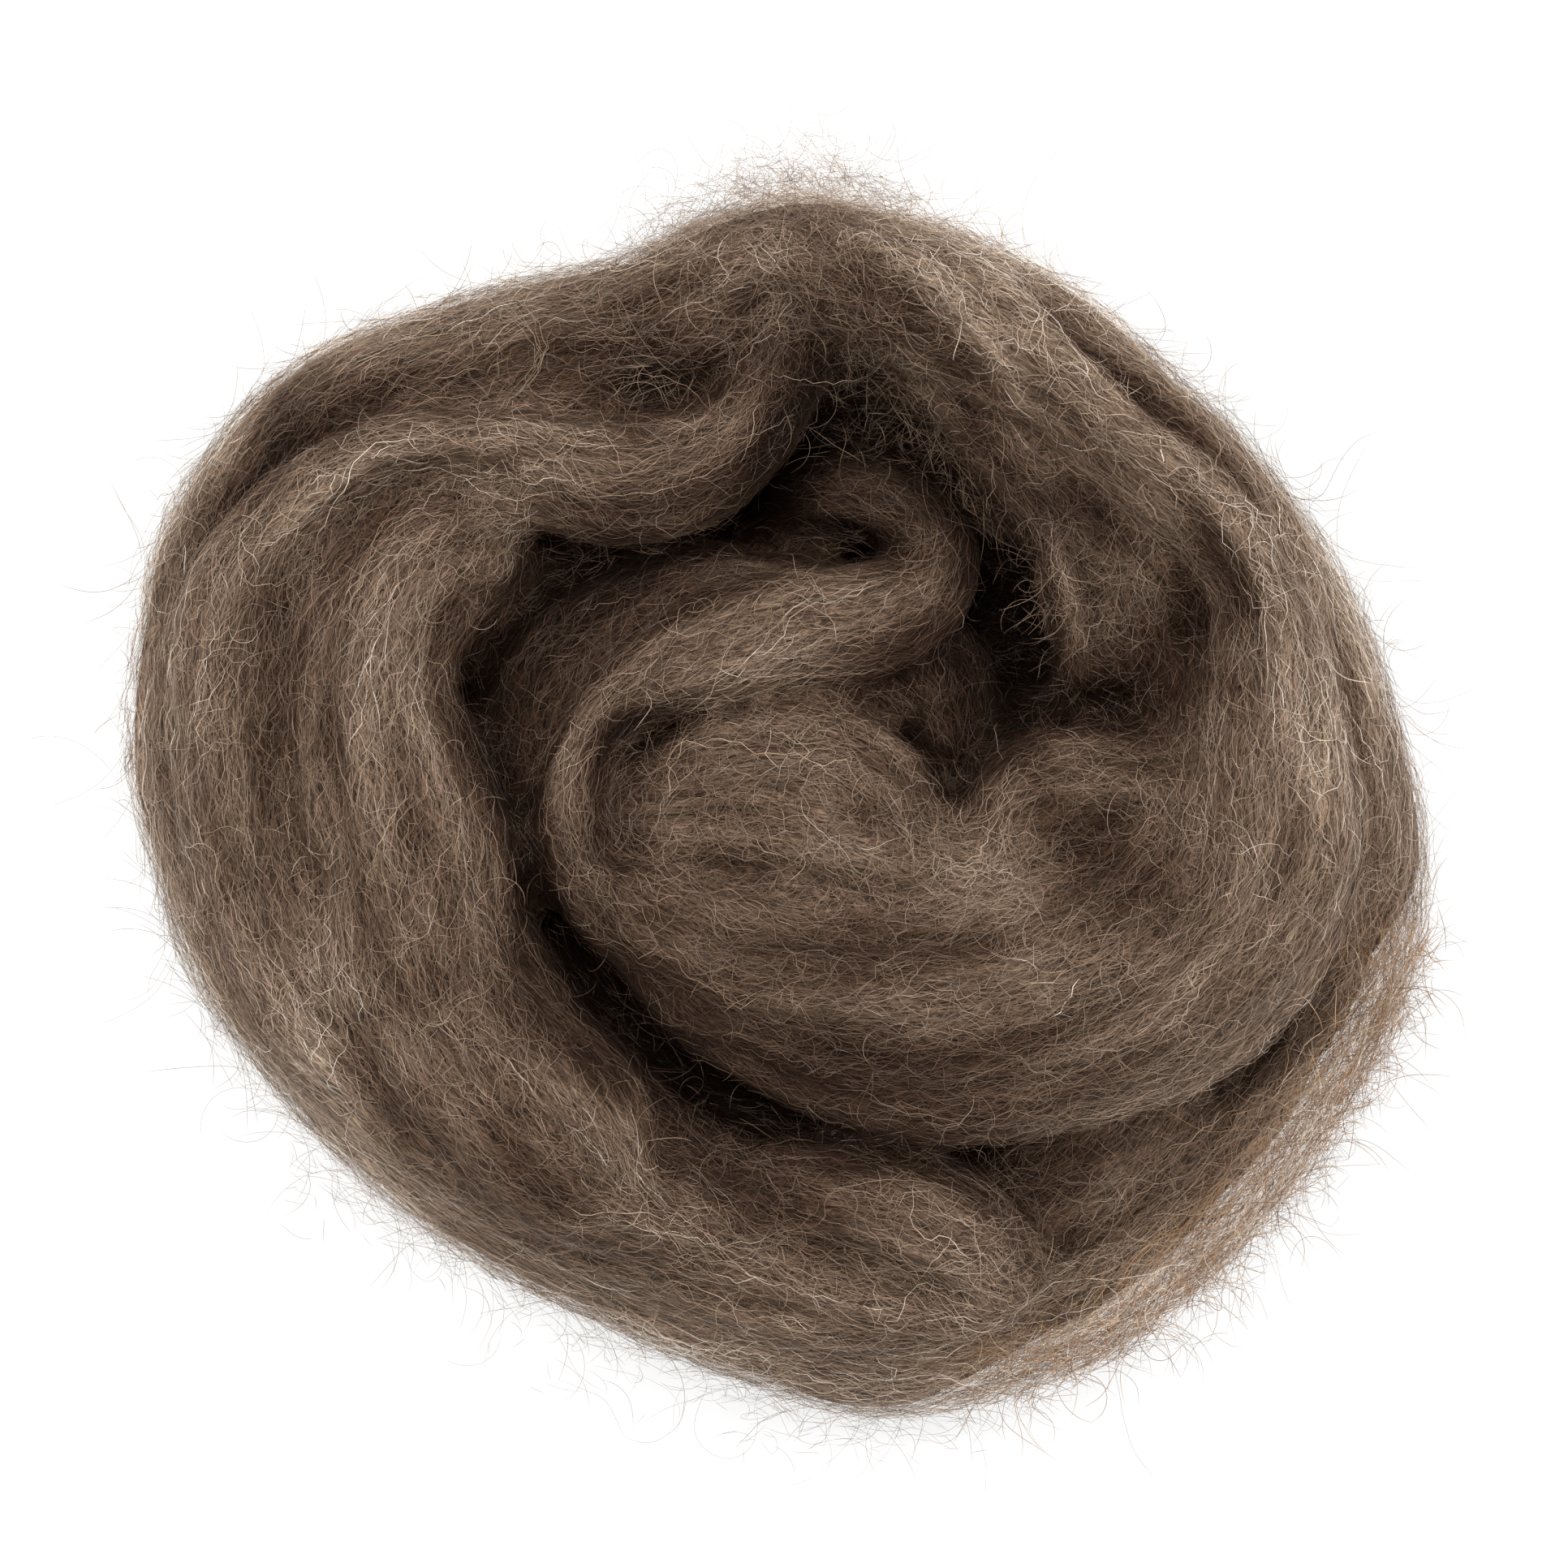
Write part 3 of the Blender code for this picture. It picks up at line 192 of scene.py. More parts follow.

# painted shade in the fleece's colour, seen in plan (x, y, width mm, share of the light lost); a negative share is
# painted light, a paler place
SHADES = {
    "behind the sagging fold": [(-58, 37, 2.5, 0.2), (-55, 44, 3.2, 0.4), (-48, 46.8, 3, 0.38), (-40, 48, 3, 0.28), (-30, 48.5, 3, 0.2), (-20, 50.5, 3.5, 0.3), (-10, 50.5, 3.5, 0.4), (-5, 53, 3, 0.3)],
    "outer locks, upper left": [(-27, 55, 2.2, 0.2), (-21, 56, 2, 0.25), (-14, 57.5, 2.2, 0.3), (-9, 59.5, 2, 0.25)],
    "end of the sagging fold": [(-1.5, 34, 3, 0.45), (0.5, 39, 3.8, 0.5), (2, 44, 4, 0.5), (3.5, 50, 3.8, 0.42), (5, 55, 3.5, 0.3), (5.5, 60, 3, 0.2)],
    "low side of the sagging fold": [(-27, 33, 2, 0.2), (-20, 32.5, 2.8, 0.45), (-12, 33, 3, 0.5), (-6, 36.5, 3, 0.4)],
    "lock on the sagging fold": [(-22, 48, 3, 0.2), (-16, 47.5, 3.8, 0.34), (-10, 48, 3.5, 0.3), (-5, 47, 3.5, 0.25)],
    "crevice between the sagging fold and the hook": [(-7, 30, 2.2, 0.6), (-3, 32.3, 3, 0.86), (1.5, 37, 2.6, 0.8), (5.8, 42.5, 3, 0.8), (8.5, 47, 2.8, 0.6), (10.5, 50, 2.5, 0.3)],
    "pocket": [(26.8, 28.5, 1.8, 0.35), (27.5, 25, 2.4, 0.6), (27.8, 19, 2.8, 0.75), (27.5, 14, 2.4, 0.65), (26.5, 9, 2.2, 0.4)],
    "under the web, upper": [(5, 55, 2.2, 0.2), (9, 57, 2.8, 0.32), (13.5, 55, 2.8, 0.38), (19, 51, 2.5, 0.15), (22, 47, 2, 0.05)],
    "under the web, middle": [(14, 47.5, 2.5, -0.2), (18.5, 44.5, 2.5, -0.2)],
    "under the web, right": [(26.5, 37, 2.5, 0.3), (30, 33.5, 2.5, 0.3), (36, 34, 3, 0.28), (38, 29.5, 2.2, 0.3)],
    "inner slope of the main turn": [(45, 34.5, 3, 0.15), (49, 28, 3.2, 0.35), (49.5, 22, 4, 0.5), (46, 16, 4, 0.45), (50.5, 14, 3, 0.3)],
    "foot of the inner slope": [(34, 11, 2, 0.25), (38, 11.5, 2.2, 0.35), (43, 12, 2.6, 0.35)],
    "left of the mound": [(31, 26, 1.4, 0.3), (31.3, 18, 1.5, 0.3)],
    "coil below the hook": [(9, 17.5, 2.5, 0.15), (16, 19, 2.5, 0.25), (22, 21, 2.2, 0.4), (23.5, 26, 1.8, 0.3)],
    "inside the hook": [(-4.5, 31.8, 1.8, 0.4), (-1, 29.5, 2, -0.1), (5, 30, 2, -0.1), (9.5, 29.6, 2.1, -0.1), (13, 28.3, 1.8, 0.45)],
    "valley below the sagging fold": [(-27, 27.5, 1.8, 0.3), (-19, 28, 1.8, 0.5), (-12, 28.3, 1.8, 0.5), (-7, 29.5, 1.5, 0.4)],
    "valley beside the third turn": [(-33.5, 18, 1.8, 0.3), (-34.3, 13, 2, 0.4), (-34.3, 8.5, 2, 0.4), (-32.5, 4, 1.6, 0.35), (-30, -1, 1.4, 0.3)],
    "inner side of the lip": [(-39.5, 19, 1.8, -0.12), (-40, 12, 2.2, -0.15)],
    "bend beside the centre lump": [(-19, 5, 1.6, 0.1), (-16.5, 7, 2, 0.3), (-13, 8.5, 1.8, 0.25)],
    "left of the centre lump": [(-9, 0.5, 2.3, 0.25), (-6, -1.5, 3, 0.25), (-2, -3, 2.4, 0.18)],
    "middle of the centre lump": [(-1, -1.5, 2.2, 0.15), (2, -3, 2, 0.12)],
    "right of the centre lump": [(9, 0, 1.8, 0.15), (11.5, -1.5, 2, 0.2), (14.5, -5, 2.5, 0.18)],
    "first band": [(-15, -13, 3, 0.2), (-5, -15, 2.5, 0.2), (5, -14.5, 2.5, 0.3), (12, -14.5, 2.5, 0.35), (18, -14, 2, 0.2)],
    "second band": [(-6, -19, 2.5, 0.3), (5, -19.8, 2.8, 0.42), (14, -19, 2.8, 0.32), (25, -16, 2, 0.1)],
    "third band": [(14, -29.5, 2.2, 0.1), (22, -28.5, 2.5, 0.2), (32, -26, 2.5, 0.28), (42, -21.5, 2.5, 0.2)],
    "low side of the main turn": [(-14, -21, 2.2, 0.35), (-5.5, -27, 2.8, 0.45), (3, -32, 3.2, 0.55), (12, -33.2, 3, 0.5), (25, -34.8, 2.8, 0.4), (35, -33, 2.5, 0.3), (45, -30, 2.3, 0.12)],
    "groove": [(-28.5, -7, 1.3, 0.3), (-26.3, -12, 1.6, 0.55), (-23, -17.5, 1.9, 0.62), (-18.5, -22.5, 2, 0.66), (-13, -28.6, 1.9, 0.66), (-6.8, -33.3, 1.9, 0.66), (0.5, -36.8, 1.8, 0.6), (9, -39.2, 1.6, 0.5), (17, -40.8, 1.6, 0.35), (24, -42.3, 2.2, 0.4), (29.5, -43.5, 2, 0.25)],
    "right flank of the third turn": [(-31, -12, 1.8, 0.2), (-29.5, -18, 2.5, 0.4), (-27.5, -24, 3, 0.5), (-22.5, -28.5, 3, 0.5), (-18.5, -33, 2, 0.35)],
    "lock down the third turn": [(-36.3, -8, 1.6, 0.2), (-36.3, -14, 1.8, 0.3), (-35.5, -20, 1.8, 0.2)],
    "left lock down the third turn": [(-47.3, -3, 1.6, 0.2), (-46.8, -12, 1.8, 0.2), (-46, -20, 1.5, 0.12)],
    "lock at the foot of the third turn": [(-34, -34, 1.6, 0.05), (-32, -37, 2, 0.38), (-28.5, -41, 2.2, 0.42), (-25, -44.5, 2, 0.3)],
    "lock left of the foot": [(-47, -30, 1.8, 0.15), (-44.5, -34, 2, 0.3), (-40, -38.5, 2, 0.3), (-35, -43, 2, 0.2)],
    "bottom, inner": [(-33, -47, 3, 0.12), (-25, -50.5, 3.2, 0.25), (-15, -52.5, 3, 0.22), (-6, -52.5, 2.5, 0.2)],
    "between the thumb and the tongue": [(-10, -41.5, 2, 0.2), (-7, -44.5, 2.8, 0.35), (-1, -46, 3, 0.35), (6, -48.5, 2.4, 0.2)],
    "upper edge of the tongue": [(-2, -40, 2, 0.3), (4, -41, 2.4, 0.4), (11, -42, 2, 0.25)],
    "rim, left": [(-70.3, 9, 1.4, 0.15), (-69.6, 2, 1.6, 0.25), (-68.5, -5, 1.4, 0.15)],
    "second turn, left": [(-64.3, 4, 1.2, 0.1), (-64, -6, 1.4, 0.15), (-61.5, -14, 1.3, 0.12)],
    "seam of the rim, upper left": [(-66, 30.5, 1.6, 0.25), (-61, 36.5, 1.8, 0.3), (-56, 41, 1.8, 0.25)],
    "top of the right lump": [(30, 3.5, 1.6, 0.1), (36, 4, 1.6, 0.1), (42, 3.5, 1.8, 0.12)],
    "thin fleece below the main turn": [(40, -38, 2.6, -0.2), (45.5, -37, 2.8, -0.38), (50.5, -35, 2.8, -0.6), (56.5, -29.5, 2.8, -0.36), (61, -24.5, 2.8, -0.5), (65, -18.5, 2.8, -0.55), (69, -10, 2.5, -0.4)],
    "crest of the lip": [(-57, 20, 2.4, -0.15), (-55, 27, 2.7, -0.46), (-51.5, 32, 2.9, -0.6), (-47, 36, 3.1, -0.68), (-41.5, 38, 3.1, -0.6), (-35.5, 35.5, 3, -0.4), (-29.8, 31, 2.5, -0.36), (-29.5, 27.5, 2, -0.2)],
    "bright lock between the lumps": [(19, -5, 2.5, -0.1), (24.5, -5.5, 3, -0.3), (27, -10, 2.6, -0.16)],
    "loose hook": [(43, 32, 1.8, -0.2), (43, 28.5, 1.8, -0.3), (39, 26, 2, -0.15)],
    "mound": [(33.5, 29, 2, -0.3), (34.5, 24, 2.3, -0.24), (37, 21, 2, -0.1)],
    "coil, lower left": [(-24, 11, 2, -0.12), (-25.8, 6.5, 2.2, -0.36), (-26.2, 1.5, 2, -0.12), (-24.3, -5, 2.5, 0.08), (-21.5, -11, 3, 0.08), (-18, -16, 3, -0.05)],
    "slope outside the coil": [(-30, -6, 2.2, 0.2), (-31, 0, 2.3, 0.34), (-32, 6, 3, 0.6), (-29.5, 12, 3.2, 0.68), (-26, 17, 3.2, 0.7), (-21, 21.5, 3.2, 0.7), (-15.5, 25.5, 2.8, 0.62)],
    "below the thumb": [(-31, -42, 3, 0.15), (-24, -44.5, 3.5, 0.22), (-19, -46.5, 3, 0.15)],
    "tongue": [(0, -45, 3, 0.15), (7, -47, 3.5, 0.22), (4, -51, 3.5, 0.2), (0, -55, 3, 0.15)],
    "outer turn, upper left": [(-57, 47, 3.6, 0.24), (-50, 50.5, 3.2, 0.12), (-42, 52.5, 3, 0.08), (-33, 55, 3, 0.14), (-25, 58.5, 3, 0.1)],
    "pocket's right wall": [(28, 26, 2.4, 0.64), (28.8, 22.4, 3, 0.9), (30.2, 18.5, 2.4, 0.68), (30.5, 14.5, 2.2, 0.34), (28, 7, 2.5, 0.3)],
    "curtain below the coil": [(12, 14.8, 2.6, 0.35), (17.5, 16.5, 3, 0.5), (22.5, 15.5, 3, 0.55), (23.5, 20, 2.2, 0.35)],
    "between the second turn and the third": [(-60, 9, 2.2, -0.3), (-60, 2, 2.4, -0.4), (-59, -6, 2.4, -0.32), (-56.5, -17, 3.2, -0.3), (-53, -26, 3.4, -0.42), (-50, -34, 3.5, -0.45), (-47.5, -41, 3, -0.36), (-42, -47.5, 3, -0.25)],
    "right band": [(56, -12, 3.2, -0.2), (59.5, -5, 3.4, -0.3), (60.5, 2, 3.5, -0.38), (58.5, 12, 3.5, -0.32), (55.5, 19, 3.2, -0.34), (57.5, 30, 3.2, -0.3)],
    "shoulder at the upper right": [(25, 52.5, 3, -0.2), (31, 52, 3, -0.2), (36, 46.5, 3, -0.24), (41.5, 41.5, 3, -0.22), (49, 35.5, 3, -0.18)],
    "rim, upper right": [(22, 62.5, 3, -0.25), (28, 60.5, 2.6, -0.3), (33.5, 57.5, 2.4, -0.2), (40, 52.5, 2.4, -0.12), (47, 46, 2.4, -0.05)],
    "centre lump, right side": [(12, -2, 3, 0.12), (10, 12, 2.2, 0.1)],
    "front of the right lump": [(28, 5.5, 2.2, -0.12), (35, 7, 2.2, -0.1), (42, 6, 2.2, -0.08)],
    "foot of the rim, lower right": [(36, -56, 4, -0.2), (46, -49, 4, -0.15), (54, -41, 3.5, -0.12)],
    "between the sagging fold and the web": [(0, 38.5, 3, 0.5), (4.5, 43, 3.6, 0.82), (9, 46.5, 3.4, 0.84), (13.5, 42.5, 2.8, 0.42), (18, 40, 2.5, 0.24)],
    "hook, right edge": [(20.5, 37, 2, 0.2), (22.5, 32, 2, 0.24), (21.5, 26, 2, 0.3)],
    "beside the mound, right": [(46, 25.5, 3, 0.28), (46.8, 20, 3.2, 0.36), (42, 18, 3, 0.26), (42, 12, 3, 0.38), (37, 11, 2.6, 0.38)],
    "hollow of the right lump": [(31, -2, 2.4, 0.1), (33.5, -4, 2.6, 0.14)],
    "left end of the centre lump": [(-20, 2, 1.8, 0.25), (-18.5, 6, 2.6, 0.45), (-15, 8, 2.6, 0.45), (-11.5, 9, 1.8, 0.3)],
    "right flank, low": [(-21, -23.5, 2.6, 0.36), (-18.6, -30, 2.6, 0.44), (-14, -35, 2.2, 0.18)],
    "under the middle": [(2, -29, 2.8, 0.25), (10, -29.3, 3, 0.38), (18, -30, 3, 0.32), (27, -30, 2.5, 0.2), (24, -20, 3, 0.15)],
    "below the groove": [(6, -37.8, 2.8, 0.32), (12, -38.4, 3, 0.42), (18, -38, 3, 0.38), (25, -38, 3, 0.24), (30, -39.6, 2.6, 0.14)],
    "third turn, low": [(-45, -24, 3, 0.2), (-36, -20.5, 3.2, 0.28), (-30.5, -24, 2.6, 0.18), (-30, -35, 2.6, 0.12), (-41, -5, 4, 0.12)],
    "lower edge of the coil": [(-7, 11.5, 2.2, -0.2), (2, 12.5, 2.5, -0.24), (9, 10, 2.5, -0.22), (15, 8, 2.2, -0.4)],
    "between the lumps, low": [(15, -10, 3, -0.08), (21, -10, 3, -0.14), (27, -13, 3, -0.12), (33, -24, 2.5, -0.12), (45, -20, 2.5, -0.12)],
    "rim, right": [(63, 24, 4, -0.22), (66, 14, 4, -0.34), (67.5, 4, 4, -0.34), (69, -6, 3, -0.22)],
    "rim, left, outer": [(-71.5, 22, 3, -0.15), (-72, 10, 3, -0.1), (-70, -8, 3, -0.14), (-65, -22, 3, -0.15)],
    "rim, bottom": [(-25, -57, 3, -0.12), (-12, -61.5, 3, -0.2), (0, -65, 3, -0.25), (10, -67, 3, -0.22), (22, -66, 3, -0.22)],
    "top, outer": [(-20, 61, 3, 0.16), (-12, 63.5, 3, 0.1), (-5, 66, 3.5, 0.26), (4, 67.5, 3.8, 0.32), (10, 68, 3, 0.16)],
    "left of the groove, upper": [(-32, 4, 1.6, 0.3), (-29.8, -2, 1.6, 0.55), (-28.2, -7, 1.7, 0.5), (-26.8, -11, 1.8, 0.35)],
    "seam over the lip": [(-56, 25, 2, 0.22), (-56, 19, 2.2, 0.34), (-56, 13, 2, 0.22), (-55.8, 5, 2, 0.15)],
    "upper left, inner": [(-60, 44, 3, 0.18), (-55, 42, 3, 0.26), (-49.5, 42, 2.8, 0.34), (-44.5, 43, 2.6, 0.28), (-39, 44, 2.4, 0.14)],
    "fuzzy hollow above the sagging fold": [(-16, 43.5, 3, 0.36), (-15.2, 48.4, 3.6, 0.62), (-13.5, 51.5, 3, 0.42)],
    "end of the sagging fold, inner": [(0, 52, 2.8, 0.36), (1, 46.5, 3.2, 0.42), (0.5, 40, 2.8, 0.5), (-2, 34.5, 2.4, 0.4)],
    "corner of the valley": [(-30.5, 20, 2.2, 0.35), (-27, 24.8, 2.6, 0.48), (-22, 26.8, 2.6, 0.4), (-16.5, 27, 2.6, 0.35)],
    "groove's far side": [(-10.5, -31, 2.2, 0.2), (-5, -34, 2, 0.1), (-0.5, -35, 2.2, 0.25)],
    "far end of the tongue": [(25, -46, 3, 0.12), (30, -45.5, 3.2, 0.36), (34.5, -42.5, 3, 0.24)],
    "wall under the curtain": [(17, 9, 2.6, 0.35), (21.5, 10, 3.5, 0.5), (20.5, 4, 3, 0.42), (26, 7.5, 3, 0.45), (29, 11.5, 3, 0.4)],
    "below the mound": [(31.5, 17, 1.8, 0.3), (35.5, 15.5, 2.6, 0.22), (39.5, 15, 2.6, 0.2)],
    "above the mound": [(31.5, 35.5, 2.4, 0.26), (35, 33.5, 2.5, 0.42), (38.3, 31, 2.1, 0.4), (40.3, 29.4, 1.6, 0.25)],
    "below the right lump": [(34, -8.5, 2.6, 0.18), (39, -10, 3.2, 0.26), (44, -9.5, 2.8, 0.15)],
    "first terrace, upper": [(-3, -8, 2.5, -0.15), (5, -9, 3, -0.18), (12, -9, 2.5, -0.1)],
    "hook, top": [(5, 38, 2.2, -0.12), (9.5, 39.6, 2.4, -0.28), (13.5, 38, 2.2, -0.12)],
    "coil, crest": [(-5, 26, 2.5, -0.2), (1, 27.6, 2.6, -0.32), (7, 26.2, 2.5, -0.25), (12, 26, 2, -0.2)],
    "coil, middle": [(-6, 16, 2.5, -0.08), (0, 15.8, 3, -0.22), (6, 18.5, 2.6, -0.1)],
    "upper right, inner edge": [(11, 61, 2.4, -0.1), (13.8, 59, 3, -0.38), (17, 56.5, 3, -0.66), (21.5, 53.4, 2.6, -0.5), (25.5, 48.5, 2.2, -0.42), (28, 43.4, 2.4, -0.4)],
    "shoulder, inner": [(40.5, 36, 3, -0.2), (47, 35, 3, -0.22), (51, 30.5, 3, -0.2)],
    "third turn, left lock": [(-50.3, 3, 2, -0.12), (-50.5, -4, 2.2, -0.22), (-50, -11, 2.2, -0.15), (-51.5, -28, 3, -0.15)],
    "thumb, edge": [(-14.8, -34, 1.8, -0.12), (-15.2, -39, 2, -0.22), (-14.8, -43, 1.8, -0.12)],
    "seam of the rim, upper right": [(29, 61, 0.9, 0.05), (31.4, 58.2, 1.1, 0.3), (34.8, 55, 1.3, 0.44), (38.6, 51.2, 1.5, 0.46), (41.8, 48.2, 1.6, 0.46), (46.2, 44.2, 1.6, 0.44), (50, 40.6, 1.4, 0.36), (54.4, 36, 1.2, 0.2)],
    "seam of the web": [(6, 60, 1.4, 0.1), (10.5, 57, 1.6, 0.22), (15.5, 53.5, 1.7, 0.3), (19.8, 48.4, 1.7, 0.34), (22.6, 43, 1.6, 0.3), (24.6, 38, 1.5, 0.18)],
    "right lump, lower arc": [(30, 3, 2.6, 0.22), (31.6, -2, 3, 0.34), (35, -5.5, 3.2, 0.38), (40, -6.8, 3, 0.26), (45.5, -5.5, 3, 0.28), (45, 1, 2.6, 0.16)],
    "foot of the mound": [(31, 12, 3, 0.18), (36, 12.5, 3.2, 0.18), (41, 10.5, 3.2, 0.2), (46, 12, 3, 0.14), (50.5, 11, 3, 0.14)],
    "curtain, low and dark": [(20.5, 18, 2.6, 0.4), (23.6, 16.5, 3, 0.68), (25.5, 12, 3.2, 0.66), (24.4, 8.2, 3, 0.6), (30, 10, 3, 0.42), (34, 10.5, 2.6, 0.26)],
    "valley floor, upper left": [(-27, 24, 2.8, 0.46), (-21.5, 25.5, 3.2, 0.5), (-16, 25.8, 3.2, 0.56), (-10.5, 27, 2.2, 0.28), (-6, 29.8, 2.2, 0.4)],
    "wall of the lip": [(-36, 22, 1.8, 0.24), (-36.6, 17.5, 2.1, 0.42), (-35.4, 12, 2.4, 0.42), (-33.2, 7.6, 2.5, 0.42), (-31.2, 4.6, 2, 0.2)],
    "hook, inner bend": [(10.5, 34.5, 2.2, 0.12), (13.8, 31.5, 2.8, 0.32), (14.5, 27.4, 2.6, 0.28), (12, 24.5, 2.4, 0.14)],
    "sagging fold, middle": [(-21, 37, 3, 0.16), (-15, 36.5, 3.4, 0.26), (-10, 38.5, 3.2, 0.24), (-4, 39.5, 3, 0.22)],
    "coil's inner side": [(-19.8, 3, 1.8, 0.1), (-20.2, -1, 2.2, 0.24), (-19.8, -5.5, 2.2, 0.24), (-17, -9.5, 2.4, 0.12), (-12, -13, 3, 0.16)],
    "main turn, upper side": [(24, -26, 2.6, -0.14), (29.5, -25, 2.8, -0.16), (35.5, -21.5, 3, -0.18), (41, -19.5, 3, -0.28), (46.5, -15, 3, -0.14), (49, -10.5, 2.6, -0.16)],
    "outer edge of the tongue": [(3, -52.3, 2.3, -0.12), (9, -54, 2.5, -0.14), (15, -55.3, 2.8, -0.26), (19.5, -54.5, 2, -0.1)],
    "tongue, upper": [(-2, -46.5, 3, 0.18), (6, -45.3, 3, 0.12), (12.5, -46.3, 3.2, 0.2), (18, -48.5, 2.5, 0.08)],
    "below the centre lump": [(-9, -7, 2.4, -0.12), (-4, -8, 2.7, -0.22), (1, -9, 2.4, -0.06)],
    "left of the groove": [(-31.5, -12, 2, -0.1), (-29, -15.5, 2.2, -0.16), (-26, -18.5, 2, -0.06)],
    "third turn, crest": [(-45.5, 23, 2.4, -0.1), (-45, 15, 2.4, -0.14), (-45.2, 8, 2.4, -0.08)],
    "third turn, right lock": [(-40, -3, 2, -0.05), (-40.3, -12, 2, -0.12), (-40.2, -20, 2.2, -0.18), (-39.2, -26, 2, -0.1)],
    "above the foot of the third turn": [(-36.8, -27, 1.8, -0.1), (-34.6, -31, 2.2, -0.18), (-32.6, -34.5, 2, -0.1)],
    "left bottom": [(-55, -29, 3, -0.08), (-52, -35, 3, -0.16), (-49.5, -40, 3, -0.14)],
    "rim, upper left, inner": [(-67, 32, 3, 0.12), (-61.5, 34.5, 3, 0.18), (-57, 38.5, 3, 0.12)],
    "lip, bend": [(-38, 39.5, 2.6, -0.08), (-32, 41.3, 2.8, -0.18), (-26.8, 43.3, 2.8, -0.18), (-22.5, 45, 2.2, -0.1)],
    "lip, end": [(-28.6, 36.5, 2.2, -0.12), (-29, 31, 2, -0.2), (-29.2, 27.5, 2, -0.2), (-30.3, 24, 1.7, -0.12)],
    "inner coil, upper edge": [(-5, 26.8, 2, -0.06), (0, 28, 2, -0.2), (5, 28, 1.8, -0.08)],
    "mound, top": [(33.5, 28, 2.2, -0.12), (36, 25.8, 2.4, -0.24), (38.5, 23.8, 2, -0.12)],
    "above the pocket": [(26.8, 33.5, 1.8, -0.1), (28, 30.8, 2, -0.14), (30.4, 29.2, 1.7, -0.08)],
    "rim, right shoulder": [(57, 34, 2.2, -0.08), (60.3, 30.8, 2.4, -0.18), (62.5, 26.5, 2.2, -0.08)],
    "edge of the curtain, low": [(19.5, 3, 2.2, -0.06), (22, 2.2, 2.4, -0.12), (24.5, 2.5, 2, -0.05)],
    "first terrace, low": [(12.5, -17.8, 2.4, -0.12), (16.5, -17, 2.2, -0.12)],
    "top, inner": [(-5, 58, 2.2, -0.08), (-1, 59.3, 2.4, -0.12)],
    "main turn, outer crest": [(27, 60, 1.8, -0.1), (30.4, 56.4, 2, -0.26), (34, 52.2, 2, -0.32), (37.6, 48.4, 1.8, -0.26), (42, 44.4, 1.8, -0.18), (46.5, 40.4, 1.6, -0.1)],
    "sheer rim": [(30, -65.5, 3, -0.1), (36, -62, 3.4, -0.22), (44, -57, 3.4, -0.4), (52, -50, 3.4, -0.26), (57, -44, 3.2, -0.3), (61, -38, 3.2, -0.34), (65.5, -31.5, 3.2, -0.2), (70.5, -22, 3, -0.02), (72, -14, 2.5, 0.06)],
    "groove's near side": [(-13.5, -31.5, 1.6, 0.12), (-10.4, -33.6, 2.1, 0.42), (-7.6, -35.8, 1.8, 0.18)],
    "thumb, low left": [(-40, -34.5, 2.4, 0.2), (-35.5, -40, 3, 0.2), (-30, -44.5, 3, 0.22), (-22, -46, 2.6, 0.18)],
    "third turn, right edge": [(-33.2, 0, 1.8, -0.08), (-33.2, -5, 2, -0.12), (-32, -9, 1.8, -0.06)],
    "pocket left of the centre lump": [(-18, 6, 2, 0.12), (-15.6, 6.4, 2.2, 0.2), (-10, 4, 2, 0.08)],
    "hook's crest": [(-9, 25, 1.5, -0.06), (-3.5, 26.8, 1.8, -0.16), (2.5, 27.4, 1.8, -0.16)],
    "notch below the pocket": [(14, 9.5, 1.8, -0.08), (17, 7.2, 2, -0.2), (22, 3, 2.2, -0.22), (24.5, 1, 1.8, -0.08)],
    "inner coil's low edge": [(-23, -17, 1.6, -0.1), (-20.2, -20, 1.9, -0.24), (-17, -22.6, 1.9, -0.18), (-12.5, -28, 1.6, -0.14), (-8, -31, 1.5, -0.12)],
    "coil's outer side": [(-28.3, 1, 1.7, -0.12), (-26.8, 7, 1.9, -0.18), (-23, 13, 1.8, -0.1), (-14.5, 20, 1.8, -0.08)],
    "right, pale lock": [(56, 19, 2, -0.12), (55, 13, 2.2, -0.18), (55.6, 8, 2, -0.1)],
    "right, upper lock": [(50.5, 31, 2, -0.16), (52.6, 26, 2, -0.12)],
    "right, inner crest": [(60.4, 2, 1.8, -0.12), (59.6, -3, 2.2, -0.17), (58.6, -9, 2, -0.1), (55, -18, 2, -0.1)],
    "thumb's right slope": [(30.5, -43.5, 2.2, -0.12), (29.6, -46, 2.2, -0.16), (35, -49.5, 3, -0.2), (38, -45, 2.4, -0.08)],
    "thumb's upper slope": [(10, -45.5, 2.4, 0.08), (14.5, -47, 3, 0.16), (19, -49.5, 2.4, 0.1)],
    "second turn, low": [(-56.5, -9, 2.2, 0.1), (-55, -14.5, 2.6, 0.18), (-53.5, -19, 2.2, 0.08)],
    "sagging fold, left crest": [(-33, 40.6, 2.2, -0.1), (-28, 42, 2.6, -0.16), (-22.5, 43.5, 2.4, -0.12)],
    "upper left, inner edge": [(-62, 36, 2.8, 0.14), (-57.5, 38, 3, 0.18), (-52, 40, 2.8, 0.18), (-46, 41.5, 2.2, 0.06)],
    "upper left, outer side": [(-64, 40, 2.4, -0.08), (-57, 49, 2.6, 0.16), (-52, 52, 2.4, 0.08)],
    "thumb, below the groove": [(-11, -33, 2.2, 0.14), (-6.5, -42, 3, 0.14), (0, -45, 3, 0.1)],
    "rim, right, outer": [(71, 15, 2.4, 0.08), (72.4, 8, 2.4, 0.18), (73, 2, 2.2, 0.06)],
}


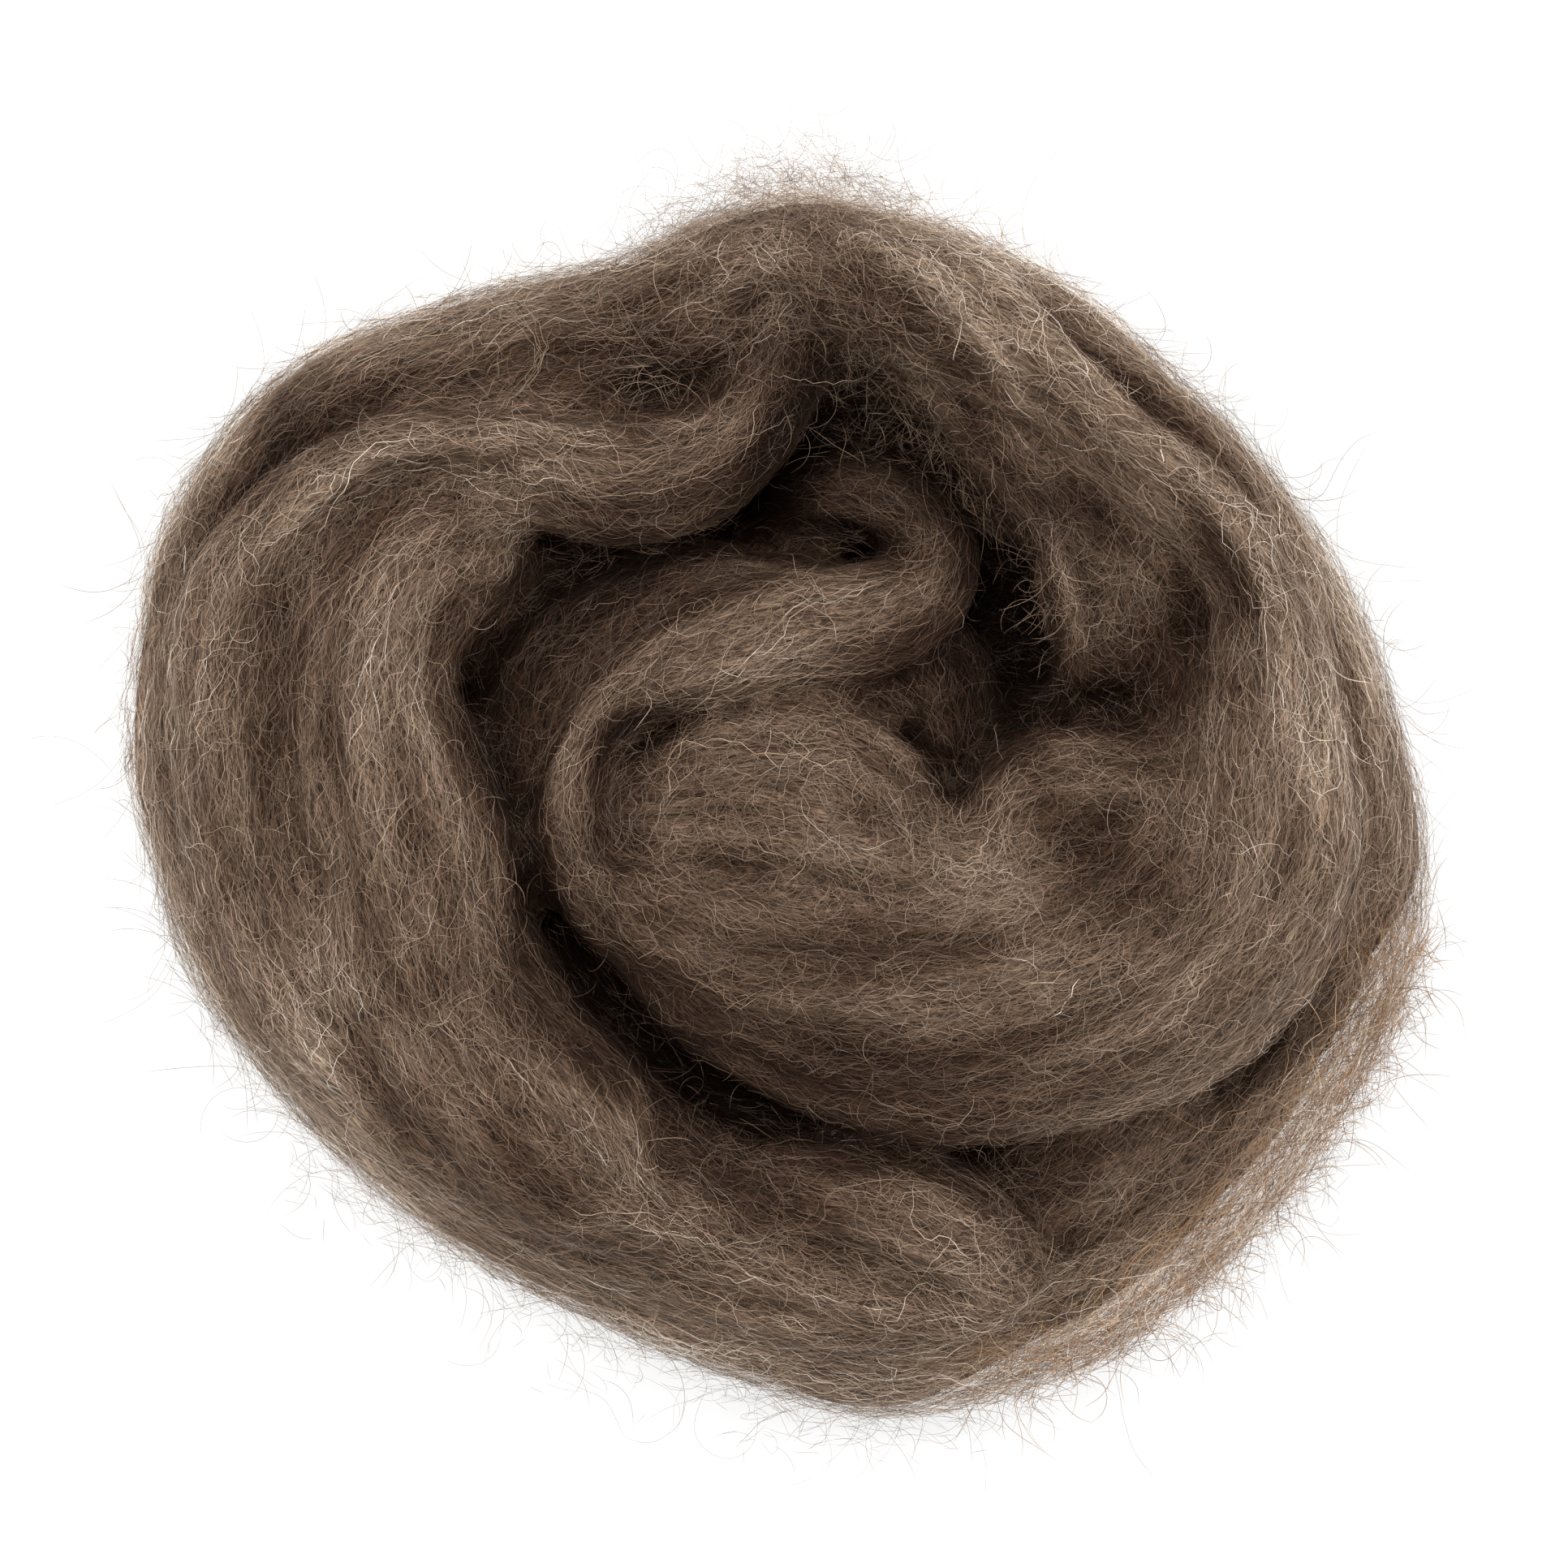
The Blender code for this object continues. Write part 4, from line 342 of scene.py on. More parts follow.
# which way the fibres lie where the turns alone don't say it, seen in plan (x, y, reach), mm
COMBS = {
    "third turn up over its lip": [(-46, 0, 6), (-45, 12, 6), (-42.5, 21, 5.5), (-38.5, 28.5, 5), (-33.5, 34, 4.5), (-28, 37, 4)],
    "lip, inner": [(-39.5, 13, 3.5), (-38, 19, 3.5), (-34, 25.5, 4), (-29, 31, 4)],
    "crest of the lip, bending down over the sagging fold": [(-43, 40.5, 3.5), (-35, 41.5, 4), (-28, 39.5, 4.5), (-23, 35.5, 4.5), (-19.5, 31, 4)],
    "coil, left flank": [(-32, 0, 3.5), (-30.5, 9, 4), (-27, 16.5, 4), (-21, 23, 4), (-15, 28, 3.5)],
    "coil, middle": [(-21, 11, 3), (-15, 16, 4), (-8.5, 22, 4), (-2, 27, 4)],
    "coil, right": [(-8, 14, 3.5), (-1, 19, 4), (6, 23.5, 4), (13, 26.5, 3.5), (18, 30, 3)],
    "curtain below the coil": [(19, 20, 4), (20, 13, 5), (21, 5, 4)],
    "top of the right lump": [(22.5, 0, 4), (27, 6, 4), (34, 7.8, 4), (42, 6.8, 4), (48, 2, 4), (50.5, -6, 4)],
    "right lump, inner": [(25, -3, 3), (29, 1.5, 3), (36, 2.5, 3), (43, 0.5, 3), (47, -5, 3)],
    "first stream": [(-24, -4, 4), (-20, -12, 4), (-11, -18, 4.5), (3, -20.5, 5), (18, -21, 5), (32, -18, 5), (43, -11, 4.5), (49, -1, 4.5), (50.5, 10, 4.5), (50, 20, 4.5), (46, 30, 4.5)],
    "second stream": [(-24, -12, 4), (-16, -21, 4), (-5, -27, 5), (10, -31, 5), (25, -31, 5), (39, -26, 5), (50, -18, 5), (57, -7, 5), (58.5, 5, 5), (59, 15, 5), (57, 24, 5), (51, 33, 5), (42, 41, 5)],
    "outer stream": [(-10, -30, 4), (4, -35, 4.5), (18, -37, 4.5), (33, -35, 4.5), (46, -29.5, 4.5), (57, -20, 4.5), (64, -7, 4.5), (65.5, 6, 4.5), (63.5, 17, 4.5), (59, 28, 4.5), (50, 38, 4.5), (40, 46, 4.5), (30, 56, 4.5)],
    "below the thumb": [(-13, -32, 5), (-6, -39, 5), (3, -46, 5), (12, -52, 5), (22, -58, 5)],
    "bottom band": [(-45, -40, 6), (-32, -46, 6), (-16, -51, 6), (0, -57, 6), (14, -62, 6), (26, -62, 6), (38, -56, 6)],
    "left band bending in": [(-55.5, 0, 5), (-54, -14, 5), (-50, -26, 5), (-43, -36.5, 5), (-32, -45, 5), (-18, -51, 5), (-4, -55.5, 5)],
    "down the third turn": [(-45, 0, 5), (-43.5, -12, 5), (-41.5, -22, 5), (-38, -31, 5), (-32, -38.5, 5), (-23, -44.5, 5), (-12, -48.5, 5)],
    "down the thumb": [(-36, -2, 5), (-34, -14, 5), (-31, -23, 5), (-27, -31, 5), (-22.5, -38, 5), (-18, -44, 4.5), (-12, -48, 4)],
    "right flank of the thumb": [(-31, -12, 3.5), (-27, -21, 3.5), (-21, -29, 3.5), (-16, -36, 3.5), (-12, -42, 3.5)],
    "sheer rim": [(24, -62, 6), (36, -56, 7), (48, -46, 7), (58, -35, 7), (66, -24, 6), (71, -12, 5), (72, 0, 5)],
    "inside the sheer rim": [(26, -50, 5), (38, -45, 5), (49, -37, 5), (58, -29, 5), (65, -20, 4.5), (69, -8, 4)],
    "web over the hollow": [(3, 64, 4), (9, 57, 4), (15, 50, 4), (20, 43, 4), (24, 36, 4)],
}


# ------------------------------------------------------------------ curves and noise
def smooth_turn(rows, closed, step):
    rows = np.array(rows, float)
    if closed:
        guide = np.vstack([rows[-1:], rows, rows[:2]])
    else:
        guide = np.vstack([2 * rows[:1] - rows[1:2], rows, 2 * rows[-1:] - rows[-2:-1]])
    out = []
    gap = lambda a, b: max(np.linalg.norm(a[:3] - b[:3]) ** 0.5, 1e-6)
    for p0, p1, p2, p3 in zip(guide, guide[1:], guide[2:], guide[3:]):
        t1 = gap(p0, p1); t2 = t1 + gap(p1, p2); t3 = t2 + gap(p2, p3)
        n = max(2, math.ceil(np.linalg.norm(p2[:3] - p1[:3]) / step))
        t = (t1 + (t2 - t1) * np.arange(n) / n)[:, None]
        a1 = p0 + (p1 - p0) * t / t1
        a2 = p1 + (p2 - p1) * (t - t1) / (t2 - t1)
        a3 = p2 + (p3 - p2) * (t - t2) / (t3 - t2)
        b1 = a1 + (a2 - a1) * t / t2
        b2 = a2 + (a3 - a2) * (t - t1) / (t3 - t1)
        out.append(b1 + (b2 - b1) * (t - t1) / (t2 - t1))
    out = np.vstack(out)
    if not closed:
        out = np.vstack([out, rows[-1:]])
    return out


def frames_of(c, closed):
    x = c[:, :3]
    t = (np.roll(x, -1, 0) - np.roll(x, 1, 0)) if closed else np.gradient(x, axis=0)
    t /= np.linalg.norm(t, axis=1, keepdims=True)
    w = np.stack([t[:, 1], -t[:, 0], np.zeros(len(t))], 1)
    w /= np.linalg.norm(w, axis=1, keepdims=True)
    return t, w, np.cross(w, t)


class Noise2:
    """Smooth value noise on a grid, periodic across (second axis), from -1 to 1."""
    def __init__(self, rng, across, length=512):
        self.g = rng.uniform(-1, 1, (length, across))
        self.n, self.m = length, across

    def __call__(self, s, q):
        s = np.asarray(s, float); q = np.asarray(q, float) * self.m
        i = np.floor(s).astype(int); j = np.floor(q).astype(int)
        fs = s - i; fq = q - j
        fs = fs * fs * (3 - 2 * fs); fq = fq * fq * (3 - 2 * fq)
        i0 = i % self.n; i1 = (i + 1) % self.n; j0 = j % self.m; j1 = (j + 1) % self.m
        g = self.g
        return (g[i0, j0] * (1 - fs) + g[i1, j0] * fs) * (1 - fq) + (g[i0, j1] * (1 - fs) + g[i1, j1] * fs) * fq


def smoothstep(a, b, x):
    q = np.clip((x - a) / (b - a), 0, 1)
    return q * q * (3 - 2 * q)


# ------------------------------------------------------------------ the fused body
def sweep_all():
    verts, faces = [], []
    for table in (LOWER_TURNS, UPPER_TURNS):
        for name, rows in table.items():
            closed = name in CLOSED_TURNS
            c = smooth_turn(rows, closed, RING_STEP)
            t, w, u = frames_of(c, closed)
            full = np.ones(len(c))
            if not closed:
                run = np.concatenate([[0], np.cumsum(np.linalg.norm(np.diff(c[:, :3], axis=0), axis=1))])
                for d, r in ((run, c[0, 3]), (run[-1] - run, c[-1, 3])):
                    q = np.clip(d / max(r * END_TAPER, 1.0), 0, 1)
                    full *= np.sqrt(np.maximum(1 - (1 - q) ** 2, 0.0004))
            th = 2 * np.pi * np.arange(RING_SIDES) / RING_SIDES
            p = c[:, None, :3] + (c[:, 3] * full)[:, None, None] * np.cos(th)[None, :, None] * w[:, None] + (c[:, 4] * full)[:, None, None] * np.sin(th)[None, :, None] * u[:, None]
            base = len(verts) and sum(len(v) for v in verts)
            n = len(c)
            idx = base + np.arange(n * RING_SIDES).reshape(n, RING_SIDES)
            a = idx if closed else idx[:-1]
            b = np.roll(idx, -1, 0) if closed else idx[1:]
            q = np.stack([a, np.roll(a, -1, 1), np.roll(b, -1, 1), b], -1).reshape(-1, 4)
            faces += q.tolist()
            if not closed:
                faces.append(idx[0][::-1].tolist())
                faces.append(idx[-1].tolist())
            verts.append(p.reshape(-1, 3))
    return np.vstack(verts), faces


def mesh_arrays(me):
    co = np.empty(len(me.vertices) * 3, np.float32); me.vertices.foreach_get("co", co)
    lv = np.empty(len(me.loops), np.int32); me.loops.foreach_get("vertex_index", lv)
    ls = np.empty(len(me.polygons), np.int32); me.polygons.foreach_get("loop_start", ls)
    lt = np.empty(len(me.polygons), np.int32); me.polygons.foreach_get("loop_total", lt)
    return co.reshape(-1, 3).astype(float), lv, ls, lt


def tri_faces(lv, ls, lt):
    out = []
    three = ls[lt == 3]; four = ls[lt == 4]
    out.append(np.stack([lv[three], lv[three + 1], lv[three + 2]], 1))
    out.append(np.stack([lv[four], lv[four + 1], lv[four + 2]], 1))
    out.append(np.stack([lv[four], lv[four + 2], lv[four + 3]], 1))
    return np.vstack(out)


def build_body():
    v, f = sweep_all()
    me = bpy.data.meshes.new("turns")
    me.from_pydata((v * MM).tolist(), [], f)
    ob = bpy.data.objects.new("turns", me)
    bpy.context.scene.collection.objects.link(ob)
    m = ob.modifiers.new("fuse", "REMESH"); m.mode = "VOXEL"; m.voxel_size = FUSE_VOXEL * MM
    m = ob.modifiers.new("soften", "SMOOTH"); m.factor = 0.5; m.iterations = 5
    bpy.context.view_layer.update()
    body = bpy.data.meshes.new_from_object(ob.evaluated_get(bpy.context.evaluated_depsgraph_get()))
    bpy.data.objects.remove(ob, do_unlink=True)
    # outer skin only
    co, lv, ls, lt = mesh_arrays(body)
    quads = lv.reshape(-1, 4) if (lt == 4).all() else None
    if quads is None:
        raise ValueError("the fused skin isn't all quads")
    label = np.arange(len(co))
    while True:                                   # connected pieces by label spreading
        low = label[quads].min(1)
        new = label.copy()
        np.minimum.at(new, quads.ravel(), np.repeat(low, 4))
        new = new[new]
        if (new == label).all():
            break
        label = new
    keep = label == np.bincount(label).argmax()
    quads = quads[keep[quads[:, 0]]]
    ids = -np.ones(len(co), int); ids[keep] = np.arange(keep.sum())
    return co[keep] * 1000.0, ids[quads]


def vertex_normals(co, quads):
    n = np.zeros_like(co)
    fn = np.cross(co[quads[:, 2]] - co[quads[:, 0]], co[quads[:, 3]] - co[quads[:, 1]])
    for k in range(4):
        np.add.at(n, quads[:, k], fn)
    n /= np.maximum(np.linalg.norm(n, axis=1, keepdims=True), 1e-12)
    return n


def average(val, quads, count, passes):
    deg = np.zeros(count)
    for k in range(4):
        np.add.at(deg, quads[:, k], 1)
    for _ in range(passes):
        fv = val[quads].mean(1)
        out = np.zeros_like(val)
        for k in range(4):
            np.add.at(out, quads[:, k], fv)
        val = out / (deg if val.ndim == 1 else deg[:, None])
    return val


body_co, quads = build_body()
lo, hi = body_co.min(0), body_co.max(0)
fit_mid = np.array([(lo[0] + hi[0]) / 2, (lo[1] + hi[1]) / 2, 0.0])
fit_scale = np.array([NEST_LENGTH / (hi[0] - lo[0]), NEST_WIDTH / (hi[1] - lo[1]), NEST_HEIGHT / hi[2]])
body_co = (body_co - fit_mid) * fit_scale
print("body", len(body_co), "verts", len(quads) * 2, "tris", round(time.perf_counter() - T0, 1), "s")

# ------------------------------------------------------------------ which turn each point of the skin belongs to
turns = []
for table in (LOWER_TURNS, UPPER_TURNS):
    for name, rows in table.items():
        closed = name in CLOSED_TURNS
        c = smooth_turn(rows, closed, 1.5)
        c[:, :3] = (c[:, :3] - fit_mid) * fit_scale
        t, w, u = frames_of(c, closed)
        run = np.concatenate([[0], np.cumsum(np.linalg.norm(np.diff(c[:, :3], axis=0), axis=1))])
        turns.append({"name": name, "c": c, "t": t, "w": w, "u": u, "run": run})

nv = len(body_co)
E = np.full((len(turns), nv), 9.0, np.float32)
S = np.zeros((len(turns), nv), np.float32)
Q = np.zeros((len(turns), nv), np.float32)
D = np.zeros((len(turns), nv, 3), np.float32)
for k, tn in enumerate(turns):
    c = tn["c"]
    reach = max(c[:, 3].max(), c[:, 4].max()) + 6
    near = np.where(((body_co > c[:, :3].min(0) - reach) & (body_co < c[:, :3].max(0) + reach)).all(1))[0]
    for part in np.array_split(near, max(1, len(near) * len(c) // 4_000_000 + 1)):
        p = body_co[part]
        d2 = (p ** 2).sum(1)[:, None] - 2 * p @ c[:, :3].T + (c[:, :3] ** 2).sum(1)[None]
        j = d2.argmin(1)
        rel = p - c[j, :3]
        x = (rel * tn["w"][j]).sum(1); y = (rel * tn["u"][j]).sum(1); z = (rel * tn["t"][j]).sum(1)
        E[k, part] = np.sqrt((x / c[j, 3]) ** 2 + (y / c[j, 4]) ** 2 + (z / 4.0) ** 2 * 0.3)
        S[k, part] = tn["run"][j] + z
        Q[k, part] = np.arctan2(y / c[j, 4], x / c[j, 3]) / (2 * np.pi)
        D[k, part] = tn["t"][j]
owner = E.argmin(0)
emin = E.min(0)
weight = np.exp(-np.clip((E - emin) / 0.10, 0, 12))
weight[E > 3] = 0
weight /= weight.sum(0)
own_dir = D[owner, np.arange(nv)]
sign = np.where((D * own_dir[None]).sum(-1) < 0, -1.0, 1.0)
flow = (weight[..., None] * D * sign[..., None]).sum(0)
disorder = (weight * np.array([DISORDER.get(t["name"], 0.13) for t in turns])[:, None]).sum(0)
# places where the fibres cross each other, seen in plan (x, y, reach, spread in radians)
UNCOMBED = [(3, 65, 11, 0.62), (-9, 63, 9, 0.5), (16, 62, 8, 0.42), (26, 54, 9, 0.34), (34, 45, 9, 0.32), (10, 50, 10, 0.6), (-32, 54, 9, 0.26), (52, 32, 9, 0.26), (29, -45, 8, 0.45), (-8, -43, 6, 0.35), (-60, 30, 8, 0.26), (40, -46, 10, 0.24)]
for x, y, size, spread in UNCOMBED:
    d2 = (body_co[:, 0] - (x - fit_mid[0]) * fit_scale[0]) ** 2 + (body_co[:, 1] - (y - fit_mid[1]) * fit_scale[1]) ** 2
    disorder = np.maximum(disorder, spread * np.exp(-d2 / size ** 2) * (body_co[:, 2] > 12))
print("owners", round(time.perf_counter() - T0, 1), "s")

# ------------------------------------------------------------------ clumps: ridges that run with the fibres
relief = np.zeros(nv)
fine = np.zeros(nv)
for k, tn in enumerate(turns):
    rng = np.random.default_rng(100 + k)
    c = tn["c"]
    round_ = 2 * np.pi * math.sqrt((np.mean(c[:, 3]) ** 2 + np.mean(c[:, 4]) ** 2) / 2)
    big = Noise2(rng, max(6, int(round_ / 6.5)))
    mid = Noise2(rng, max(10, int(round_ / 3.4)))
    small = Noise2(rng, max(16, int(round_ / 1.7)))
    s, q = S[k], Q[k]
    q = q + 0.02 * np.sin(s / 17.0 + k) + 0.012 * np.sin(s / 7.3 + 2 * k)
    b = np.abs(big(s / 34.0, q)) ** 0.6
    m = np.abs(mid(s / 22.0 + 50, q)) ** 0.65
    f = small(s / 12.0 + 90, q)
    relief += weight[k] * (2.3 * (b - 0.55) + 1.25 * (m - 0.55))
    fine += weight[k] * f
normals = vertex_normals(body_co, quads)
soft = average(relief + 0.22 * fine, quads, nv, 1)
low = smoothstep(0.0, 4.0, body_co[:, 2])           # the table side stays flat


def in_plan(rows):
    """Closely spaced points of a crease or comb line, in the model's own frame, with its other columns."""
    rows = np.array(rows, float)
    c = smooth_turn(np.insert(rows, 2, 0.0, axis=1), False, 1.0)
    c[:, :2] = (c[:, :2] - fit_mid[:2]) * fit_scale[:2]
    return np.delete(c, 2, axis=1)


def near_line(co, line, reach):
    """Points near a line in plan: their numbers, the line point nearest to each, and the distance to it."""
    lo, hi = line[:, :2].min(0) - reach, line[:, :2].max(0) + reach
    ids = np.where(((co[:, :2] > lo) & (co[:, :2] < hi)).all(1))[0]
    d2 = ((co[ids, None, :2] - line[None, :, :2]) ** 2).sum(-1)
    j = d2.argmin(1)
    return ids, j, np.sqrt(d2[np.arange(len(ids)), j])


tree = BVHTree.FromPolygons(body_co.tolist(), quads.tolist(), all_triangles=False)
UP = Vector((0, 0, 1))
above = np.array([nz > 0.0 and tree.ray_cast(Vector(p), UP)[0] is None for p, nz in zip((body_co + 0.5 * normals).tolist(), normals[:, 2].tolist())], float)
above = average(above, quads, nv, 2) * smoothstep(0.0, 0.4, normals[:, 2])
trough = np.zeros(nv); ridge = np.zeros(nv)
for rows in CREASES.values():
    line = in_plan(rows)
    ids, j, d = near_line(body_co, line, 7.0)
    amp = line[j, 3] * np.exp(-(d / line[j, 2]) ** 2)
    np.maximum.at(trough, ids, amp); np.maximum.at(ridge, ids, -amp)
trough *= above; ridge *= above
combed = np.zeros(nv); lay = np.zeros((nv, 3))
for rows in COMBS.values():
    line = in_plan(rows)
    heading = np.gradient(line[:, :2], axis=0); heading /= np.linalg.norm(heading, axis=1, keepdims=True)
    ids, j, d = near_line(body_co, line, 14.0)
    w = 0.92 * np.exp(-(d / line[j, 2]) ** 2) * above[ids]
    better = w > combed[ids]
    combed[ids[better]] = w[better]; lay[ids[better], :2] = heading[j[better]]
lay -= normals * (lay * normals).sum(1, keepdims=True)
lay *= np.where((lay * flow).sum(1) < 0, -1.0, 1.0)[:, None]
flow = flow * (1 - combed[:, None]) + lay * combed[:, None]
# the SHADES strokes as painted shade and painted light, on what is seen from above
painted_shade_and_light = np.ones(nv)
for rows in SHADES.values():
    line = in_plan(rows)
    ids, j, d = near_line(body_co, line, 11.0)
    painted_shade_and_light[ids] *= 1 - line[j, 3] * np.exp(-(d / line[j, 2]) ** 2) * above[ids]
skin_co = body_co + normals * (soft * low + ridge - trough)[:, None]

# stay inside the measured outline: pull back what the relief pushed past it
over = 0.5
skin_co[:, 0] = np.clip(skin_co[:, 0], -NEST_LENGTH / 2 - over, NEST_LENGTH / 2 + over)
skin_co[:, 2] = np.maximum(skin_co[:, 2], 0.0)
normals = vertex_normals(skin_co, quads)

# ------------------------------------------------------------------ the open, see-through web along the lower right rim
angle = np.degrees(np.arctan2(skin_co[:, 1], skin_co[:, 0]))
out = (normals[:, 0] * np.cos(np.radians(angle)) + normals[:, 1] * np.sin(np.radians(angle)))
radius = np.hypot(skin_co[:, 0], skin_co[:, 1])
window = smoothstep(-82, -60, angle) * (1 - smoothstep(-16, -4, angle))
rim = smoothstep(50, 60, radius) * smoothstep(-0.2, 0.35, out) * (1 - smoothstep(24, 32, skin_co[:, 2]))
far_no = ((angle + 180) / 3).astype(int) % 120
far_reach = np.zeros(120); np.maximum.at(far_reach, far_no, radius)
far_angle = (np.arange(120) + 0.5) * 3 - 180
gap = np.maximum(np.interp(angle, far_angle, far_reach, period=360) - radius, 0)
web = average(window * rim * (1 - smoothstep(4.5, 10.0, gap)), quads, nv, 3)
inset = 0.35 + 5.0 * web + 1.2 * average(np.exp(-(gap / 1.6) ** 2) * smoothstep(-0.1, 0.5, out), quads, nv, 1)

# ------------------------------------------------------------------ openness: how much sky a point of the skin sees
tri = np.vstack([quads[:, [0, 1, 2]], quads[:, [0, 2, 3]]])
bvh = BVHTree.FromPolygons(skin_co.tolist(), quads.tolist(), all_triangles=False)
rays = 14
open_ = np.zeros(nv)
golden = np.pi * (3 - 5 ** 0.5)
k = np.arange(rays)
r = np.sqrt((k + 0.5) / rays)
local = np.stack([r * np.cos(k * golden), r * np.sin(k * golden), np.sqrt(1 - r * r)], 1)
tan = np.cross(normals, np.array([0.31, 0.87, 0.39])); tan /= np.linalg.norm(tan, axis=1, keepdims=True)
bit = np.cross(normals, tan)
dirs = (local[None, :, 0, None] * tan[:, None] + local[None, :, 1, None] * bit[:, None] + local[None, :, 2, None] * normals[:, None])
start = skin_co + normals * 0.4
for i in range(nv):
    o = Vector(start[i]); hits = 0.0
    for d in dirs[i]:
        h = bvh.ray_cast(o, d, 38.0)
        if h[0] is None:
            hits += 1.0
        else:
            hits += min(1.0, h[3] / 38.0) ** 1.5
    open_[i] = hits / rays
open_ = average(open_, quads, nv, 2)
print("openness", round(time.perf_counter() - T0, 1), "s")

# ------------------------------------------------------------------ tracing fibres over the skin
face_norm = normals[quads].mean(1); face_norm /= np.maximum(np.linalg.norm(face_norm, axis=1, keepdims=True), 1e-9)
face_open = open_[quads].mean(1)
face_inset = inset[quads].mean(1)
face_dis = disorder[quads].mean(1)
face_owner = owner[quads[:, 0]]
face_trough = trough[quads].mean(1)
face_fine = fine[quads].mean(1)
face_mid = skin_co[quads].mean(1)
diag1 = skin_co[quads[:, 2]] - skin_co[quads[:, 0]]; diag2 = skin_co[quads[:, 3]] - skin_co[quads[:, 1]]
face_area = np.linalg.norm(np.cross(diag1, diag2), axis=1) / 2
d = flow[quads].mean(1)
d -= (d * face_norm).sum(1, keepdims=True) * face_norm
weak = np.linalg.norm(d, axis=1) < 0.15
d[weak] = np.cross(face_norm[weak], [0.3, 0.5, 0.81])
face_dir = d / np.maximum(np.linalg.norm(d, axis=1, keepdims=True), 1e-9)
face_side = np.cross(face_norm, face_dir)


# painted light and shade in the fleece's colour: folds, troughs and closed-in places are painted darker (painted shade
# from the openness, the SHADES strokes and the creases), clump tops a little lighter, and the thin rim near the outline
# is painted lighter, a painted glow
vert_rim = smoothstep(0.30, 0.95, out) * smoothstep(0.80, 0.97, radius / np.interp(angle, far_angle, far_reach))
vert_painted_light = (0.22 + 0.78 * np.clip(open_, 0, 1) ** 1.6) * painted_shade_and_light * (1 - 0.05 * np.clip(trough, 0, 3)) * (1 + 0.12 * np.clip(relief, -1.2, 1.2)) * (1 + 0.46 * np.exp(-(gap / 3.8) ** 2))
face_painted_light = vert_painted_light[quads].mean(1)

seen = 0.13 + 0.87 * smoothstep(-0.25, 0.35, face_norm[:, 2])
seen *= 0.25 + 0.75 * smoothstep(0.03, 0.22, face_open)
seen[(face_mid[:, 2] < 1.0) & (face_norm[:, 2] < 0)] *= 0.25
seen *= 1 + 0.4 * web[quads[:, 0]]
STEP = 1.1


def trace(n, rng, weight, mean_len, spread=1.0, min_len=7.0, step=STEP, wild_share=0.14, turn=1.0):
    """Fibre paths on the skin: points, skin normals, faces, fibre number, place along the fibre (0 to 1), step number."""
    prob = weight * face_area
    prob = prob / prob.sum()
    first = rng.choice(len(prob), n, p=prob)
    corner = rng.random((n, 4)); corner /= corner.sum(1, keepdims=True)
    p0 = (skin_co[quads[first]] * corner[..., None]).sum(1)
    length = np.clip(rng.gamma(3.2, mean_len / 3.2, n), min_len, mean_len * 2.6)
    count = np.maximum(4, (length / step).astype(int))
    head = np.where(rng.random(n) < 0.5, 1.0, -1.0)
    wild = np.where(rng.random(n) < wild_share, rng.uniform(2.0, 4.5, n), 1.0) * spread
    phi = rng.normal(0, 1, n) * face_dis[first] * wild
    noise = rng.normal(0, 1, (n, int(count.max()) + 1))
    pts, fac, fid, num = [], [], [], []
    near = bvh.find_nearest
    fd = face_dir.tolist(); fs = face_side.tolist(); dis = face_dis.tolist()
    for i in range(n):
        x, y, z = p0[i]
        c = int(count[i]); a = float(phi[i]); h = float(head[i]); w = float(wild[i]) * turn
        ld = None
        nz = noise[i]
        for k in range(c):
            hit = near((x, y, z), 4.0)
            if hit[0] is None:
                break
            q = hit[2]
            x, y, z = hit[0]
            pts.append((x, y, z)); fac.append(q); fid.append(i); num.append(k)
            ca = math.cos(a) * h; sa = math.sin(a) * h
            u = fd[q]; v = fs[q]
            dx = u[0] * ca + v[0] * sa; dy = u[1] * ca + v[1] * sa; dz = u[2] * ca + v[2] * sa
            if ld is not None and dx * ld[0] + dy * ld[1] + dz * ld[2] < 0:
                dx, dy, dz = -dx, -dy, -dz
                h = -h
            if ld is not None:
                dx = 0.5 * ld[0] + 0.5 * dx; dy = 0.5 * ld[1] + 0.5 * dy; dz = 0.5 * ld[2] + 0.5 * dz
                m = math.sqrt(dx * dx + dy * dy + dz * dz) or 1.0
                dx /= m; dy /= m; dz /= m
            ld = (dx, dy, dz)
            x += dx * step; y += dy * step; z += dz * step
            a = a * 0.93 + nz[k] * (0.04 + 0.30 * dis[q]) * w
    pts = np.array(pts); fac = np.array(fac); fid = np.array(fid); num = np.array(num)
    got = np.bincount(fid, minlength=n)
    ok = got[fid] >= 4
    pts, fac, fid, num = pts[ok], fac[ok], fid[ok], num[ok]
    return pts, face_norm[fac], fac, fid, num / np.maximum(got[fid] - 1, 1), num


def tangents(pts, fid):
    n = len(pts)
    nxt = np.minimum(np.arange(n) + 1, n - 1); prv = np.maximum(np.arange(n) - 1, 0)
    nxt = np.where(fid[nxt] == fid, nxt, np.arange(n)); prv = np.where(fid[prv] == fid, prv, np.arange(n))
    t = pts[nxt] - pts[prv]
    return t / np.maximum(np.linalg.norm(t, axis=1, keepdims=True), 1e-9)


